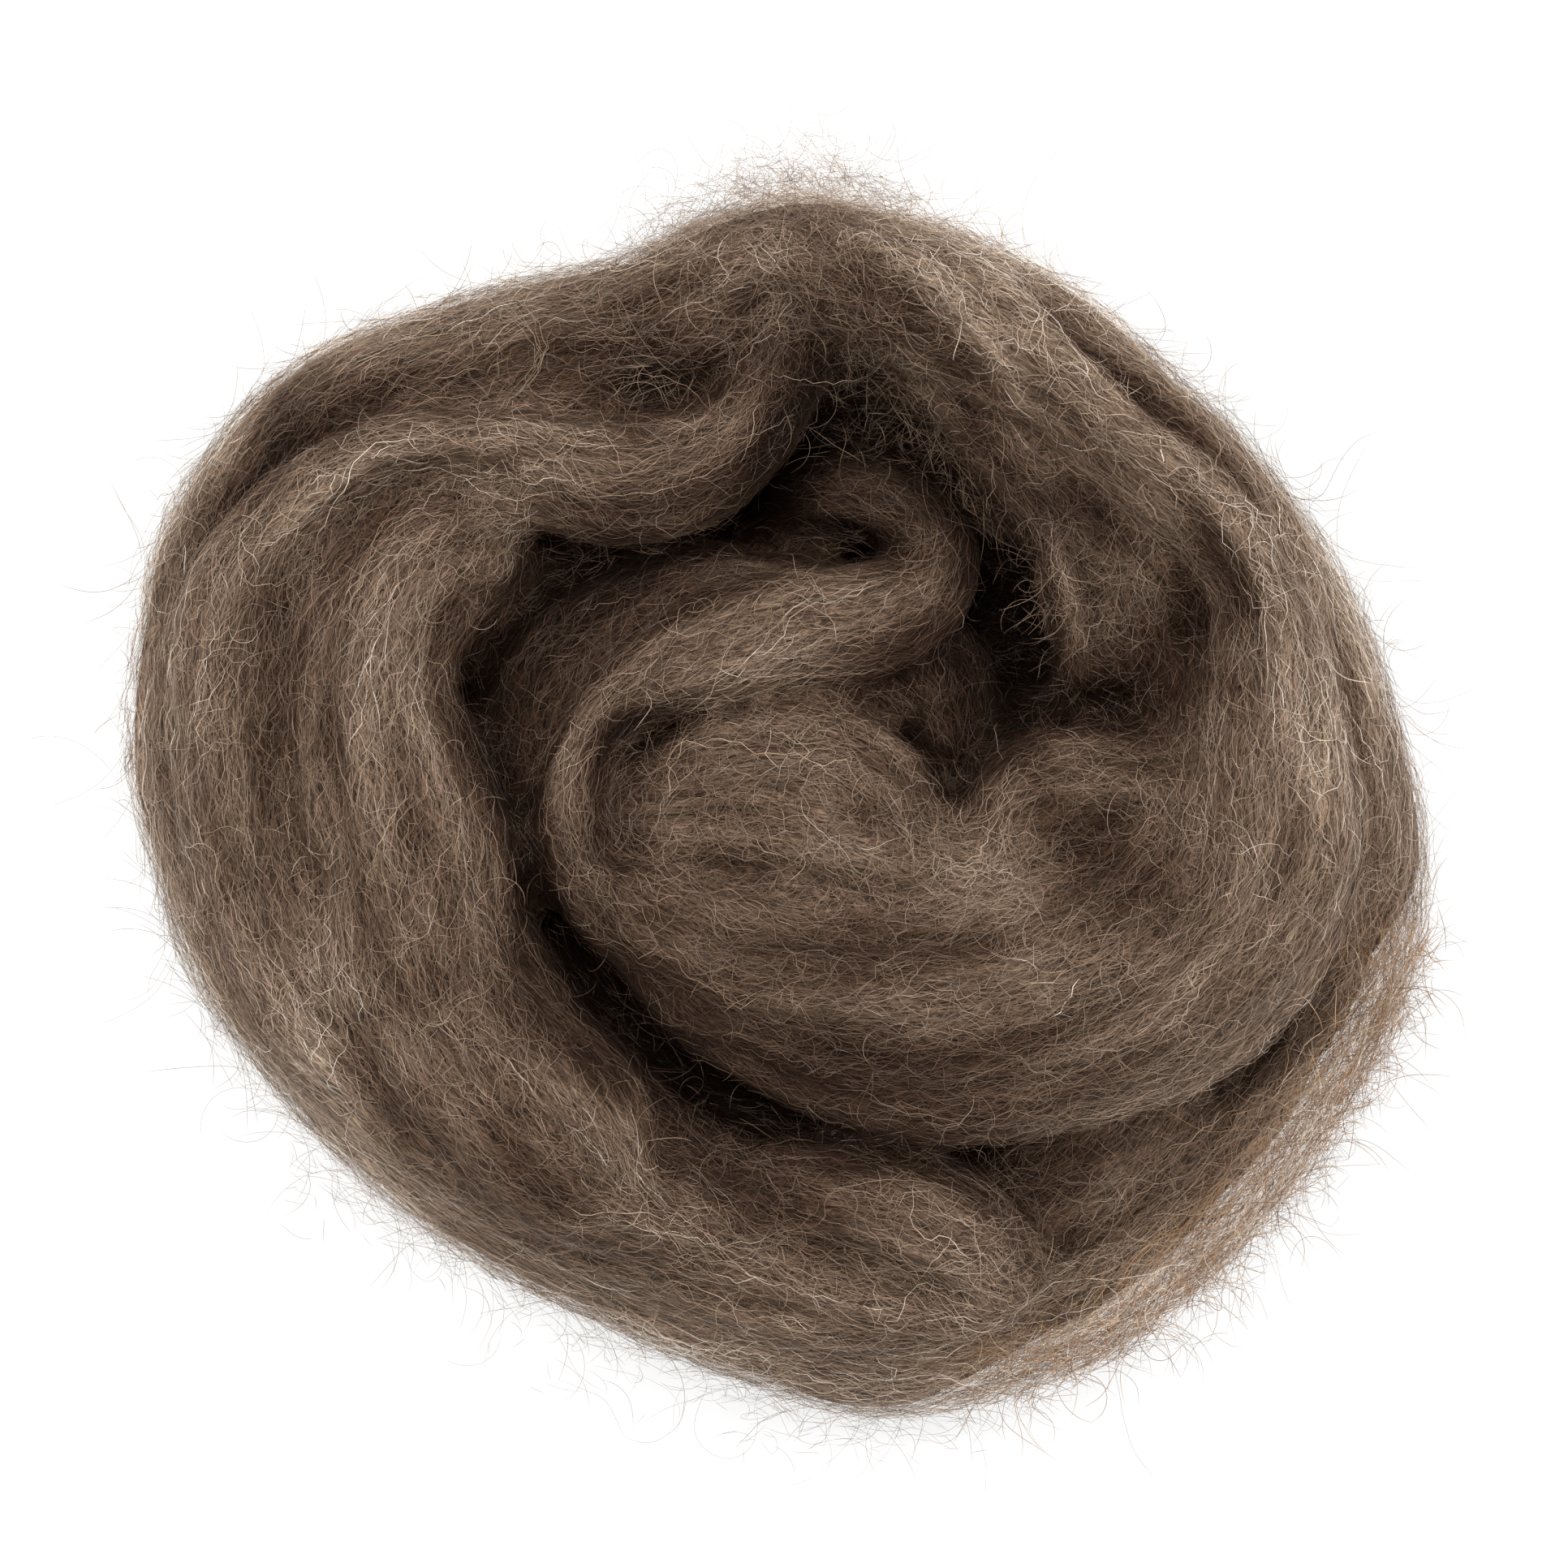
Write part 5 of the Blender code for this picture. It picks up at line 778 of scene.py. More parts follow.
def crimp(pts, nrm, fid, num, rng, step, amp=(0.04, 0.15), lift_amp=0.05, wander=0.28):
    """The wool's own waviness: a short crimp and a longer wander, in the skin and a little out of it."""
    n = int(fid.max()) + 1
    t = tangents(pts, fid)
    side = np.cross(nrm, t); side /= np.maximum(np.linalg.norm(side, axis=1, keepdims=True), 1e-9)
    s = num * step
    am = rng.uniform(*amp, n)[fid]
    one, two, three = rng.uniform(0, 6.283, (3, n))[:, fid]
    lam = rng.uniform(2.5, 4.4, n)[fid]; lam2 = rng.uniform(2.6, 5.2, n)[fid]; lam3 = rng.uniform(8, 18, n)[fid]
    wobble = am * np.sin(6.283 * s / lam + one + 0.9 * np.sin(s / 5.1 + two)) + wander * np.sin(6.283 * s / lam3 + three)
    rise = lift_amp * np.sin(6.283 * s / lam2 + two)
    return pts + side * wobble[:, None] + nrm * rise[:, None]


def ribbons(pts, nrm, fid, t, uv, width, roll, taper=0.35, buried=None):
    """Flat ribbons along the paths: vertices, quads, and a place on the palette for each vertex."""
    tg = tangents(pts, fid)
    side = np.cross(tg, nrm); side /= np.maximum(np.linalg.norm(side, axis=1, keepdims=True), 1e-9)
    face = np.cross(side, tg)
    side = side * np.cos(roll)[:, None] + face * np.sin(roll)[:, None]
    w = width * (taper + (1 - taper) * np.minimum(1, 5 * np.minimum(t, 1 - t)))
    v = np.empty((2 * len(pts), 3))
    v[0::2] = pts - side * (w / 2)[:, None]; v[1::2] = pts + side * (w / 2)[:, None]
    v[:, 2] = np.maximum(v[:, 2], 0.02)
    i = np.where(fid[:-1] == fid[1:])[0]
    if buried is not None:
        i = i[~(buried[i] & buried[i + 1])]
    f = np.stack([2 * i, 2 * i + 1, 2 * i + 3, 2 * i + 2], 1)
    uvv = np.repeat(uv, 2, axis=0)
    uvv[0::2, 0] -= 0.0015; uvv[1::2, 0] += 0.0015
    used, f = np.unique(f, return_inverse=True)
    return v[used], f.reshape(-1, 4), None, uvv[used]


def prisms(pts, nrm, fid, t, uv, width, taper=0.4):
    """Closed three-sided hairs along the paths."""
    tg = tangents(pts, fid)
    side = np.cross(tg, nrm); side /= np.maximum(np.linalg.norm(side, axis=1, keepdims=True), 1e-9)
    up = np.cross(side, tg)
    w = width * (taper + (1 - taper) * np.minimum(1, 5 * np.minimum(t, 1 - t))) * 0.6
    v = np.empty((3 * len(pts), 3))
    for j in range(3):
        a = j * 2 * math.pi / 3 + math.pi / 2
        v[j::3] = pts + (side * math.cos(a) + up * math.sin(a)) * w[:, None]
    v[:, 2] = np.maximum(v[:, 2], 0.02)
    uvv = np.repeat(uv, 3, axis=0)
    uvv[0::3, 0] -= 0.0015; uvv[2::3, 0] += 0.0015
    i = np.where(fid[:-1] == fid[1:])[0]
    f = [np.stack([3 * i + j, 3 * i + (j + 1) % 3, 3 * i + 3 + (j + 1) % 3, 3 * i + 3 + j], 1) for j in range(3)]
    new = fid[1:] != fid[:-1]
    first = np.where(np.concatenate([[True], new]))[0]; last = np.where(np.concatenate([new, [True]]))[0]
    caps = np.vstack([np.stack([3 * first + 2, 3 * first + 1, 3 * first], 1), np.stack([3 * last, 3 * last + 1, 3 * last + 2], 1)])
    return v, np.vstack(f), caps, uvv


def make_piece(name, verts, quad, tri, maps, mat, smooth=True):
    """A piece in metres that rides on the roving. maps holds one place per vertex, or one per corner, by map name."""
    me = bpy.data.meshes.new(name)
    nq, nt = len(quad), (0 if tri is None else len(tri))
    me.vertices.add(len(verts)); me.loops.add(4 * nq + 3 * nt); me.polygons.add(nq + nt)
    me.vertices.foreach_set("co", (verts * MM).astype(np.float32).ravel())
    loops = quad.ravel() if tri is None else np.concatenate([quad.ravel(), tri.ravel()])
    me.loops.foreach_set("vertex_index", loops.astype(np.int32))
    me.polygons.foreach_set("loop_start", np.concatenate([np.arange(nq) * 4, 4 * nq + np.arange(nt) * 3]).astype(np.int32))
    me.polygons.foreach_set("use_smooth", np.full(nq + nt, smooth))
    for key, uv in maps.items():
        layer = me.uv_layers.new(name=key)
        layer.data.foreach_set("uv", (uv if len(uv) == len(loops) else uv[loops]).astype(np.float32).ravel())
    me.materials.append(mat)
    me.update(calc_edges=True)
    me.validate()
    ob = bpy.data.objects.new(name, me)
    bpy.context.scene.collection.objects.link(ob)
    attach(ob, "root")
    return ob


# ------------------------------------------------------------------ materials
def srgb(*c):
    return tuple(((x / 255) / 12.92 if x / 255 <= 0.04045 else (((x / 255) + 0.055) / 1.055) ** 2.4) for x in c) + (1.0,)


# up these ramps lies the lightness, which carries painted light and shade as well as each fibre's own tone; their deep,
# redder dark ends colour the painted shade in the folds
COOL = [(0.0, srgb(12, 5, 2)), (0.12, srgb(33, 22, 16)), (0.25, srgb(60, 47, 39)), (0.5, srgb(113, 98, 85)), (0.75, srgb(159, 144, 130)), (1.0, srgb(214, 206, 196))]
WARM = [(0.0, srgb(16, 6, 2)), (0.12, srgb(40, 23, 14)), (0.25, srgb(71, 50, 36)), (0.5, srgb(126, 101, 81)), (0.75, srgb(171, 146, 121)), (1.0, srgb(224, 207, 187))]


# a paler, warmer ramp for thin wool: a painted glow of light coming through it
PAINTED_GLOW = [(0.0, srgb(20, 8, 3)), (0.12, srgb(46, 27, 16)), (0.25, srgb(84, 56, 36)), (0.5, srgb(146, 111, 80)), (0.75, srgb(196, 160, 124)), (1.0, srgb(236, 214, 188))]


def ramp(nt, stops):
    node = nt.nodes.new("ShaderNodeValToRGB")
    e = node.color_ramp.elements
    e[0].position, e[0].color = stops[0]
    e[1].position, e[1].color = stops[-1]
    for pos, col in stops[1:-1]:
        n = e.new(pos); n.color = col
    return node


def palette(nt, map_name, pair=(COOL, WARM)):
    """Wool colour from a palette map: across it from cool to warm, up it from dark to pale."""
    uv = nt.nodes.new("ShaderNodeUVMap"); uv.uv_map = map_name
    sep = nt.nodes.new("ShaderNodeSeparateXYZ"); nt.links.new(uv.outputs[0], sep.inputs[0])
    cool, warm = ramp(nt, pair[0]), ramp(nt, pair[1])
    nt.links.new(sep.outputs[1], cool.inputs[0]); nt.links.new(sep.outputs[1], warm.inputs[0])
    mix = nt.nodes.new("ShaderNodeMix"); mix.data_type = "RGBA"
    nt.links.new(sep.outputs[0], mix.inputs[0]); nt.links.new(cool.outputs[0], mix.inputs[6]); nt.links.new(warm.outputs[0], mix.inputs[7])
    return mix.outputs[2]


def wool_material(name, rough, sheen, spec):
    mat = bpy.data.materials.new(name); mat.use_nodes = True
    bsdf = mat.node_tree.nodes["Principled BSDF"]
    bsdf.inputs["Roughness"].default_value = rough
    bsdf.inputs["Specular IOR Level"].default_value = spec
    bsdf.inputs["Sheen Weight"].default_value = sheen
    bsdf.inputs["Sheen Roughness"].default_value = 0.5
    bsdf.inputs["Sheen Tint"].default_value = (0.55, 0.42, 0.32, 1.0)
    bsdf.inputs["Specular Tint"].default_value = (1.0, 0.80, 0.64, 1.0)
    return mat, mat.node_tree, bsdf


wool, nt, bsdf = wool_material("combed wool fibres", 0.42, 0.05, 0.34)
nt.links.new(palette(nt, "OFBake"), bsdf.inputs["Base Color"])
# the sheer rim's fibres take the painted glow ramp
thin_wool, nt, bsdf = wool_material("thin wool with light behind it", 0.5, 0.06, 0.3)
nt.links.new(palette(nt, "OFBake", (COOL, PAINTED_GLOW)), bsdf.inputs["Base Color"])

under, nt, bsdf = wool_material("packed wool below", 0.8, 0.03, 0.08)
strand_uv = nt.nodes.new("ShaderNodeUVMap"); strand_uv.uv_map = "strand"


def math_node(kind, a, b=None, c=None):
    node = nt.nodes.new("ShaderNodeMath"); node.operation = kind
    for socket, value in zip(node.inputs, (a, b, c)):
        if value is None:
            continue
        if isinstance(value, (int, float)):
            socket.default_value = value
        else:
            nt.links.new(value, socket)
    return node.outputs[0]


def streaks(along, across, turned, detail, distort):
    """Noise stretched along the fibres; sizes in mm, turned by an angle in degrees."""
    place = nt.nodes.new("ShaderNodeMapping"); place.vector_type = "POINT"
    place.inputs["Scale"].default_value = (100, 100, 1)
    place.inputs["Rotation"].default_value = (0, 0, math.radians(turned))
    place.inputs["Location"].default_value = (turned * 1.7, along * 5.0, 0)
    nt.links.new(strand_uv.outputs[0], place.inputs["Vector"])
    scale = nt.nodes.new("ShaderNodeVectorMath"); scale.operation = "MULTIPLY"
    scale.inputs[1].default_value = (1 / along, 1 / across, 1)
    nt.links.new(place.outputs[0], scale.inputs[0])
    noise = nt.nodes.new("ShaderNodeTexNoise"); noise.noise_dimensions = "2D"
    noise.inputs["Scale"].default_value = 1.0
    noise.inputs["Detail"].default_value = detail
    noise.inputs["Distortion"].default_value = distort
    nt.links.new(scale.outputs[0], noise.inputs["Vector"])
    return noise.outputs["Fac"]


def threads(along, across, turned, thin):
    """Thin wavy threads: the places where stretched noise crosses its middle value."""
    off = math_node("ABSOLUTE", math_node("SUBTRACT", streaks(along, across, turned, 1.0, 0.5), 0.5))
    line = nt.nodes.new("ShaderNodeMapRange"); line.interpolation_type = "SMOOTHSTEP"
    line.inputs["From Min"].default_value = thin; line.inputs["From Max"].default_value = 0.0
    nt.links.new(off, line.inputs["Value"])
    return line.outputs["Result"]


layers = [threads(3.2, 0.48, 4, 0.06), threads(2.6, 0.42, -13, 0.06), threads(2.2, 0.46, 21, 0.055), threads(4.5, 0.36, -3, 0.065)]
web_of = layers[0]
for k, other in enumerate(layers[1:]):
    web_of = math_node("MAXIMUM", web_of, math_node("MULTIPLY", other, (0.9, 0.7, 0.85)[k]))
grain = streaks(2.5, 0.16, 0, 2.0, 0.4)
clump = streaks(9.0, 0.9, 0, 2.0, 0.6)
height = math_node("MULTIPLY_ADD", web_of, 0.55, math_node("MULTIPLY", grain, 0.8))
level = math_node("MULTIPLY", math_node("MULTIPLY_ADD", web_of, 1.15, math_node("MULTIPLY_ADD", grain, 1.9, -0.50)), math_node("MULTIPLY_ADD", clump, 1.6, 0.20))
level = math_node("MAXIMUM", level, 0.12)
# the body's colour is the 'shade' palette map, which carries painted light and shade, times the thread streaks
tint = nt.nodes.new("ShaderNodeVectorMath"); tint.operation = "SCALE"
nt.links.new(palette(nt, "shade"), tint.inputs[0]); nt.links.new(level, tint.inputs["Scale"])
nt.links.new(tint.outputs[0], bsdf.inputs["Base Color"])
bump = nt.nodes.new("ShaderNodeBump"); bump.inputs["Strength"].default_value = 0.8; bump.inputs["Distance"].default_value = 0.0003
nt.links.new(height, bump.inputs["Height"]); nt.links.new(bump.outputs[0], bsdf.inputs["Normal"])

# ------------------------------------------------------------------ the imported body
body_v = skin_co - normals * inset[:, None]
body_v[:, 2] = np.maximum(body_v[:, 2], 0.0)
# body palette: warmer on the thin web along the lower right rim, a painted glow of light through it; its lightness is
# the painted light and shade worked out above, with a little random tone
shade_uv = np.stack([0.50 + 0.48 * web, np.clip(0.40 * vert_painted_light * (1 + 0.10 * fine), 0.01, 0.99)], 1)
sq = S[face_owner[:, None], quads]; qq = Q[face_owner[:, None], quads]
qq = qq - np.round(qq - qq[:, :1])
round_mm = np.array([2 * np.pi * math.sqrt((np.mean(tn["c"][:, 3]) ** 2 + np.mean(tn["c"][:, 4]) ** 2) / 2) for tn in turns])
strand_map = np.stack([sq + 60.0 * face_owner[:, None], qq * round_mm[face_owner][:, None]], -1).reshape(-1, 2) / 100.0
body = make_piece("roving_body", body_v, quads, None, {"strand": strand_map, "shade": shade_uv}, under)
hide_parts("roving")
total = len(quads) * 2
LEFT = 985_000 - total

# ------------------------------------------------------------------ the combed fibres
rng = np.random.default_rng(11)
N_FIBRES = 20500
pts, nrm, fac, fid, t, num = trace(N_FIBRES, rng, seen, 16.5, spread=1.45, wild_share=0.26, turn=1.3)
print("traced", len(pts), round(time.perf_counter() - T0, 1), "s")
n = int(fid.max()) + 1
pts = crimp(pts, nrm, fid, num, rng, STEP, amp=(0.06, 0.30), lift_amp=0.0)
# fibres dive under their neighbours and come up again; what goes under the body is left out
wave = rng.uniform(3.5, 11, n)[fid]; phase = rng.uniform(0, 6.283, n)[fid]
weave = np.sin(6.283 * num * STEP / wave + phase)
lift = rng.uniform(-0.44, 0.06, n)[fid] + rng.uniform(0.08, 0.30, n)[fid] * weave + np.where(rng.random(n) < 0.07, rng.uniform(0.1, 0.8, n), 0)[fid] * np.sin(np.pi * t) ** 0.7
sheer = np.maximum(face_inset[fac] - 0.35, 0)
lift = lift - (rng.random(n) ** 1.2)[fid] * sheer
buried = lift < -(face_inset[fac] + 0.02)
pts = pts + nrm * lift[:, None]
tone = rng.normal(0.435, 0.125, n) + np.where(rng.random(n) < 0.16, rng.uniform(0.08, 0.34, n), 0) - np.where(rng.random(n) < 0.22, rng.uniform(0.05, 0.20, n), 0)
# where single fibres stand out more or less from their neighbours, seen in plan (x, y, reach, gain)
STAND_OUT = [(0, -5, 26, -0.34), (22, -8, 16, -0.2), (58, 0, 18, -0.24), (0, 62, 14, 0.4), (-50, 45, 14, 0.35), (30, 52, 14, 0.15), (-10, -58, 26, 0.25), (-30, 54, 14, 0.3), (10, 48, 10, 0.6), (-40, 0, 14, -0.1), (50, -25, 16, -0.1)]
first = pts[np.searchsorted(fid, np.arange(n), side="left").clip(0, len(fid) - 1)]
gain = np.ones(n)
for x, y, size, more in STAND_OUT:
    gain += more * np.exp(-((first[:, 0] - (x - fit_mid[0]) * fit_scale[0]) ** 2 + (first[:, 1] - (y - fit_mid[1]) * fit_scale[1]) ** 2) / size ** 2)
tone = 0.43 + (tone - 0.43) * gain
blotch = np.sin(num * STEP / rng.uniform(0.5, 1.3, n)[fid] + phase * 3)
# a fibre's lightness is its own tone times the painted light and shade of the skin below it; the weave term paints it
# darker where it dips under its neighbours and lighter where it rides over them, painted shade and light
bright = np.clip((tone[fid] + 0.06 * weave + 0.03 * blotch) * face_painted_light[fac] * (1 + 0.10 * face_fine[fac]), 0.01, 0.99)
# fibres on the thin web along the lower right rim are warmer: a painted glow of light coming through them
hue = np.clip(rng.normal(0.50, 0.12, n)[fid] + 0.7 * web[quads[fac, 0]], 0.01, 0.99)
width = (rng.uniform(0.042, 0.085, n) + np.where(rng.random(n) < 0.05, 0.03, 0))[fid]
roll = rng.uniform(-0.7, 0.7, n)[fid]
start_owner = face_owner[fac[np.searchsorted(fid, np.arange(n), side="left").clip(0, len(fac) - 1)]]
GROUPS = {
    "outer_turn_fibres": ("outer turn, from the top round the left", "outer turn, from the bottom up the right", "bed ring", "inner bed"),
    "second_turn_fibres": ("sagging fold at the top", "second turn", "hollow below the top", "saddle behind the sagging fold", "saddle between the second and third turns"),
    "third_turn_fibres": ("third turn, folded under at its lip", "thumb on the third turn", "end of the lip", "flank beside the groove", "tongue at the bottom"),
    "main_turn_fibres": ("main turn, round the right and over the top", "inner flank of the main turn", "slope under the web"),
    "centre_fibres": None,
}
names = [tn["name"] for tn in turns]
group_of = np.full(len(names), len(GROUPS) - 1)
for g, members in enumerate(GROUPS.values()):
    for m in members or ():
        group_of[names.index(m)] = g
seg = np.bincount(fid[:-1][(fid[:-1] == fid[1:]) & ~(buried[:-1] & buried[1:])], minlength=n)
for g, gname in enumerate(GROUPS):
    ids = np.where(group_of[start_owner] == g)[0]
    part = 0
    while len(ids):
        cut = max(1, int(np.searchsorted(np.cumsum(seg[ids] * 2), TRI_LIMIT)))
        now, ids = ids[:cut], ids[cut:]
        sel = np.isin(fid, now)
        v, f, tri, uv = ribbons(pts[sel], nrm[sel], fid[sel], t[sel], np.stack([hue[sel], bright[sel]], 1), width[sel], roll[sel], buried=buried[sel])
        make_piece(gname if part == 0 else f"{gname}_{part + 1}", v, f, tri, {"OFBake": uv}, wool)
        print(gname, part, len(f) * 2)
        total += len(f) * 2
        part += 1

# ------------------------------------------------------------------ loose fibres lying across the surface
rng = np.random.default_rng(23)
plan = face_mid[:, :2] / fit_scale[:2] + fit_mid[:2]
few = 1 - 0.5 * np.exp(-((plan[:, 0] - 4) ** 2 + (plan[:, 1] + 6) ** 2) / 24 ** 2) - 0.35 * np.exp(-((plan[:, 0] - 60) ** 2 + plan[:, 1] ** 2) / 18 ** 2)
top_seen = few * seen * smoothstep(0.0, 0.5, face_norm[:, 2]) * (0.35 + 0.65 * smoothstep(0.05, 0.4, face_open)) * (0.6 + 2.2 * np.clip(face_dis, 0, 0.6))
pts, nrm, fac, fid, t, num = trace(5000, rng, top_seen, 9.0, spread=2.8, wild_share=0.45, turn=1.6, min_len=4.0)
n = int(fid.max()) + 1
pts = crimp(pts, nrm, fid, num, rng, STEP, amp=(0.10, 0.45), lift_amp=0.12, wander=0.7)
high = rng.uniform(0.05, 0.5, n) + np.where(rng.random(n) < 0.10, rng.uniform(0.3, 1.3, n), 0)
pts = pts + nrm * (high[fid] * (0.2 + 0.8 * np.sin(np.pi * t) ** 0.6))[:, None]
# loose fibres take the painted light and shade of the skin below them
bright = np.clip((rng.normal(0.58, 0.12, n) + np.where(rng.random(n) < 0.12, rng.uniform(0.05, 0.25, n), 0))[fid] * (0.12 + 0.86 * face_painted_light[fac]), 0.01, 0.99)
hue = np.clip(rng.normal(0.45, 0.12, n), 0.01, 0.99)[fid]
v, f, tri, uv = ribbons(pts, nrm, fid, t, np.stack([hue, bright], 1), rng.uniform(0.04, 0.068, n)[fid], rng.uniform(-0.8, 0.8, n)[fid])
make_piece("loose_surface_fibres", v, f, tri, {"OFBake": uv}, wool)
total += len(f) * 2
print("loose", len(f) * 2, round(time.perf_counter() - T0, 1), "s")


# ------------------------------------------------------------------ fibres that stand free in the air
def free(start, heading, length, curl, rng, step=0.8, drop=0.0, floor=0.1):
    """Curling paths in the air, all at once. curl is the radius of a fibre's bends in mm."""
    n = len(start)
    count = np.maximum(4, (length / step).astype(int))
    top = int(count.max())
    p = start.copy(); h = heading / np.linalg.norm(heading, axis=1, keepdims=True)
    axis = rng.normal(0, 1, (n, 3)); axis /= np.linalg.norm(axis, axis=1, keepdims=True)
    out = np.empty((top, n, 3))
    for k in range(top):
        out[k] = p
        axis += rng.normal(0, 0.30, (n, 3)); axis /= np.linalg.norm(axis, axis=1, keepdims=True)
        h = h + np.cross(axis, h) * (step / curl)[:, None] + [0, 0, -drop * step]
        h /= np.linalg.norm(h, axis=1, keepdims=True)
        p = p + h * step
        p[:, 2] = np.maximum(p[:, 2], floor)
    ids = np.repeat(np.arange(n), count)
    num = np.concatenate([np.arange(c) for c in count])
    pts = out[num, ids]
    tg = tangents(pts, ids)
    nrm = np.cross(tg, np.cross([0.02, 0.01, 1.0], tg)); nrm /= np.maximum(np.linalg.norm(nrm, axis=1, keepdims=True), 1e-9)
    return pts, nrm, ids, num / np.maximum(count[ids] - 1, 1), num


# edge of the outline as seen from above: the outermost points of each degree and a half
bearing = np.degrees(np.arctan2(skin_co[:, 1], skin_co[:, 0]))
reach = np.hypot(skin_co[:, 0], skin_co[:, 1])
slot_no = ((bearing + 180) / 1.5).astype(int) % 240
far = np.zeros(240); np.maximum.at(far, slot_no, reach)
edge = np.where((reach > far[slot_no] - 1.6) & (skin_co[:, 2] > 2.0))[0]
edge_bearing = bearing[edge]
outward = np.stack([skin_co[edge, 0], skin_co[edge, 1], np.zeros(len(edge))], 1); outward /= np.linalg.norm(outward, axis=1, keepdims=True)
lie = flow[edge] * [1, 1, 0.2]; lie /= np.maximum(np.linalg.norm(lie, axis=1, keepdims=True), 1e-9)


def around(points):
    """Fuzz density by compass bearing from a short table of (bearing, amount)."""
    b, a = np.array(points, float).T
    return np.interp(edge_bearing, b, a)


HAIRINESS = [(-180, 0.5), (-160, 0.56), (-140, 0.87), (-120, 0.93), (-105, 0.94), (-90, 1.27), (-75, 1.36), (-60, 1.19), (-45, 1.6), (-30, 1.1), (-10, 0.5), (10, 0.4), (30, 0.35), (50, 0.4), (65, 0.7), (75, 1.4), (90, 1.8), (103, 1.5), (112, 0.8), (135, 0.25), (160, 0.28), (180, 0.37)]
WHISKERS = [(-180, 0.35), (-150, 0.8), (-135, 1.6), (-120, 1.4), (-105, 0.9), (-92, 1.3), (-80, 1.6), (-65, 1.1), (-45, 1.1), (-30, 0.6), (-10, 0.2), (30, 0.12), (60, 0.25), (75, 1.4), (90, 2.2), (105, 1.6), (115, 0.4), (150, 0.15), (180, 0.3)]
EVEN = [(-180, 1.0), (-130, 1.3), (-90, 1.0), (-60, 1.5), (-20, 1.2), (0, 0.9), (60, 1.0), (90, 1.3), (120, 1.0), (180, 1.0)]
TUFT = [(-180, 0), (74, 0), (82, 0.7), (90, 1.0), (98, 1.0), (103, 0.5), (108, 0), (180, 0)]
rng = np.random.default_rng(31)
pieces = []


def halo(count, table, mean_len, curl, out_share, width, tone, step):
    w = around(table); w = w / w.sum()
    i = rng.choice(len(edge), count, p=w)
    sign = np.where(rng.random(count) < 0.5, -1.0, 1.0)[:, None]
    o = rng.uniform(*out_share, count)[:, None]
    heading = lie[i] * sign * (1 - o) + outward[i] * o + rng.normal(0, 0.18, (count, 3))
    start = skin_co[edge[i]] + rng.normal(0, 0.5, (count, 3)) - outward[i] * rng.uniform(0.2, 1.6, count)[:, None]
    start[:, 2] = np.maximum(start[:, 2], 0.5)
    length = np.clip(rng.gamma(2.2, mean_len / 2.2, count), 1.5, mean_len * 3.2)
    p, nr, ids, t, num = free(start, heading, length, rng.uniform(*curl, count), rng, step=step, drop=0.004)
    near = np.hypot(p[:, 0], p[:, 1]) - far[(((np.degrees(np.arctan2(p[:, 1], p[:, 0])) + 180) / 1.5).astype(int)) % 240]
    b = np.clip(rng.normal(tone, 0.07, count)[ids], 0.05, 0.95)
    # halo fibres along the lower right are warmer: a painted glow of light coming through them
    warm = smoothstep(-85, -60, edge_bearing[i]) * (1 - smoothstep(-15, 0, edge_bearing[i]))
    h = np.clip((rng.normal(0.35, 0.12, count) + 0.5 * warm)[ids], 0.01, 0.99)
    pieces.append(ribbons(p, nr, ids, t, np.stack([h, b], 1), rng.uniform(*width, count)[ids], rng.uniform(-0.5, 0.5, count)[ids], taper=0.25))


halo(4000, EVEN, 6.5, (4.0, 14.0), (0.0, 0.025), (0.03, 0.05), 0.58, 0.95)
halo(2000, HAIRINESS, 3.8, (1.6, 5.5), (0.0, 0.14), (0.026, 0.042), 0.60, 0.75)
halo(440, WHISKERS, 5.5, (2.0, 7.0), (0.02, 0.34), (0.024, 0.036), 0.62, 0.8)
halo(190, WHISKERS, 9.0, (3.0, 10.0), (0.0, 0.3), (0.024, 0.034), 0.62, 0.95)
halo(260, TUFT, 6.0, (1.1, 4.0), (0.1, 0.5), (0.026, 0.038), 0.58, 0.75)

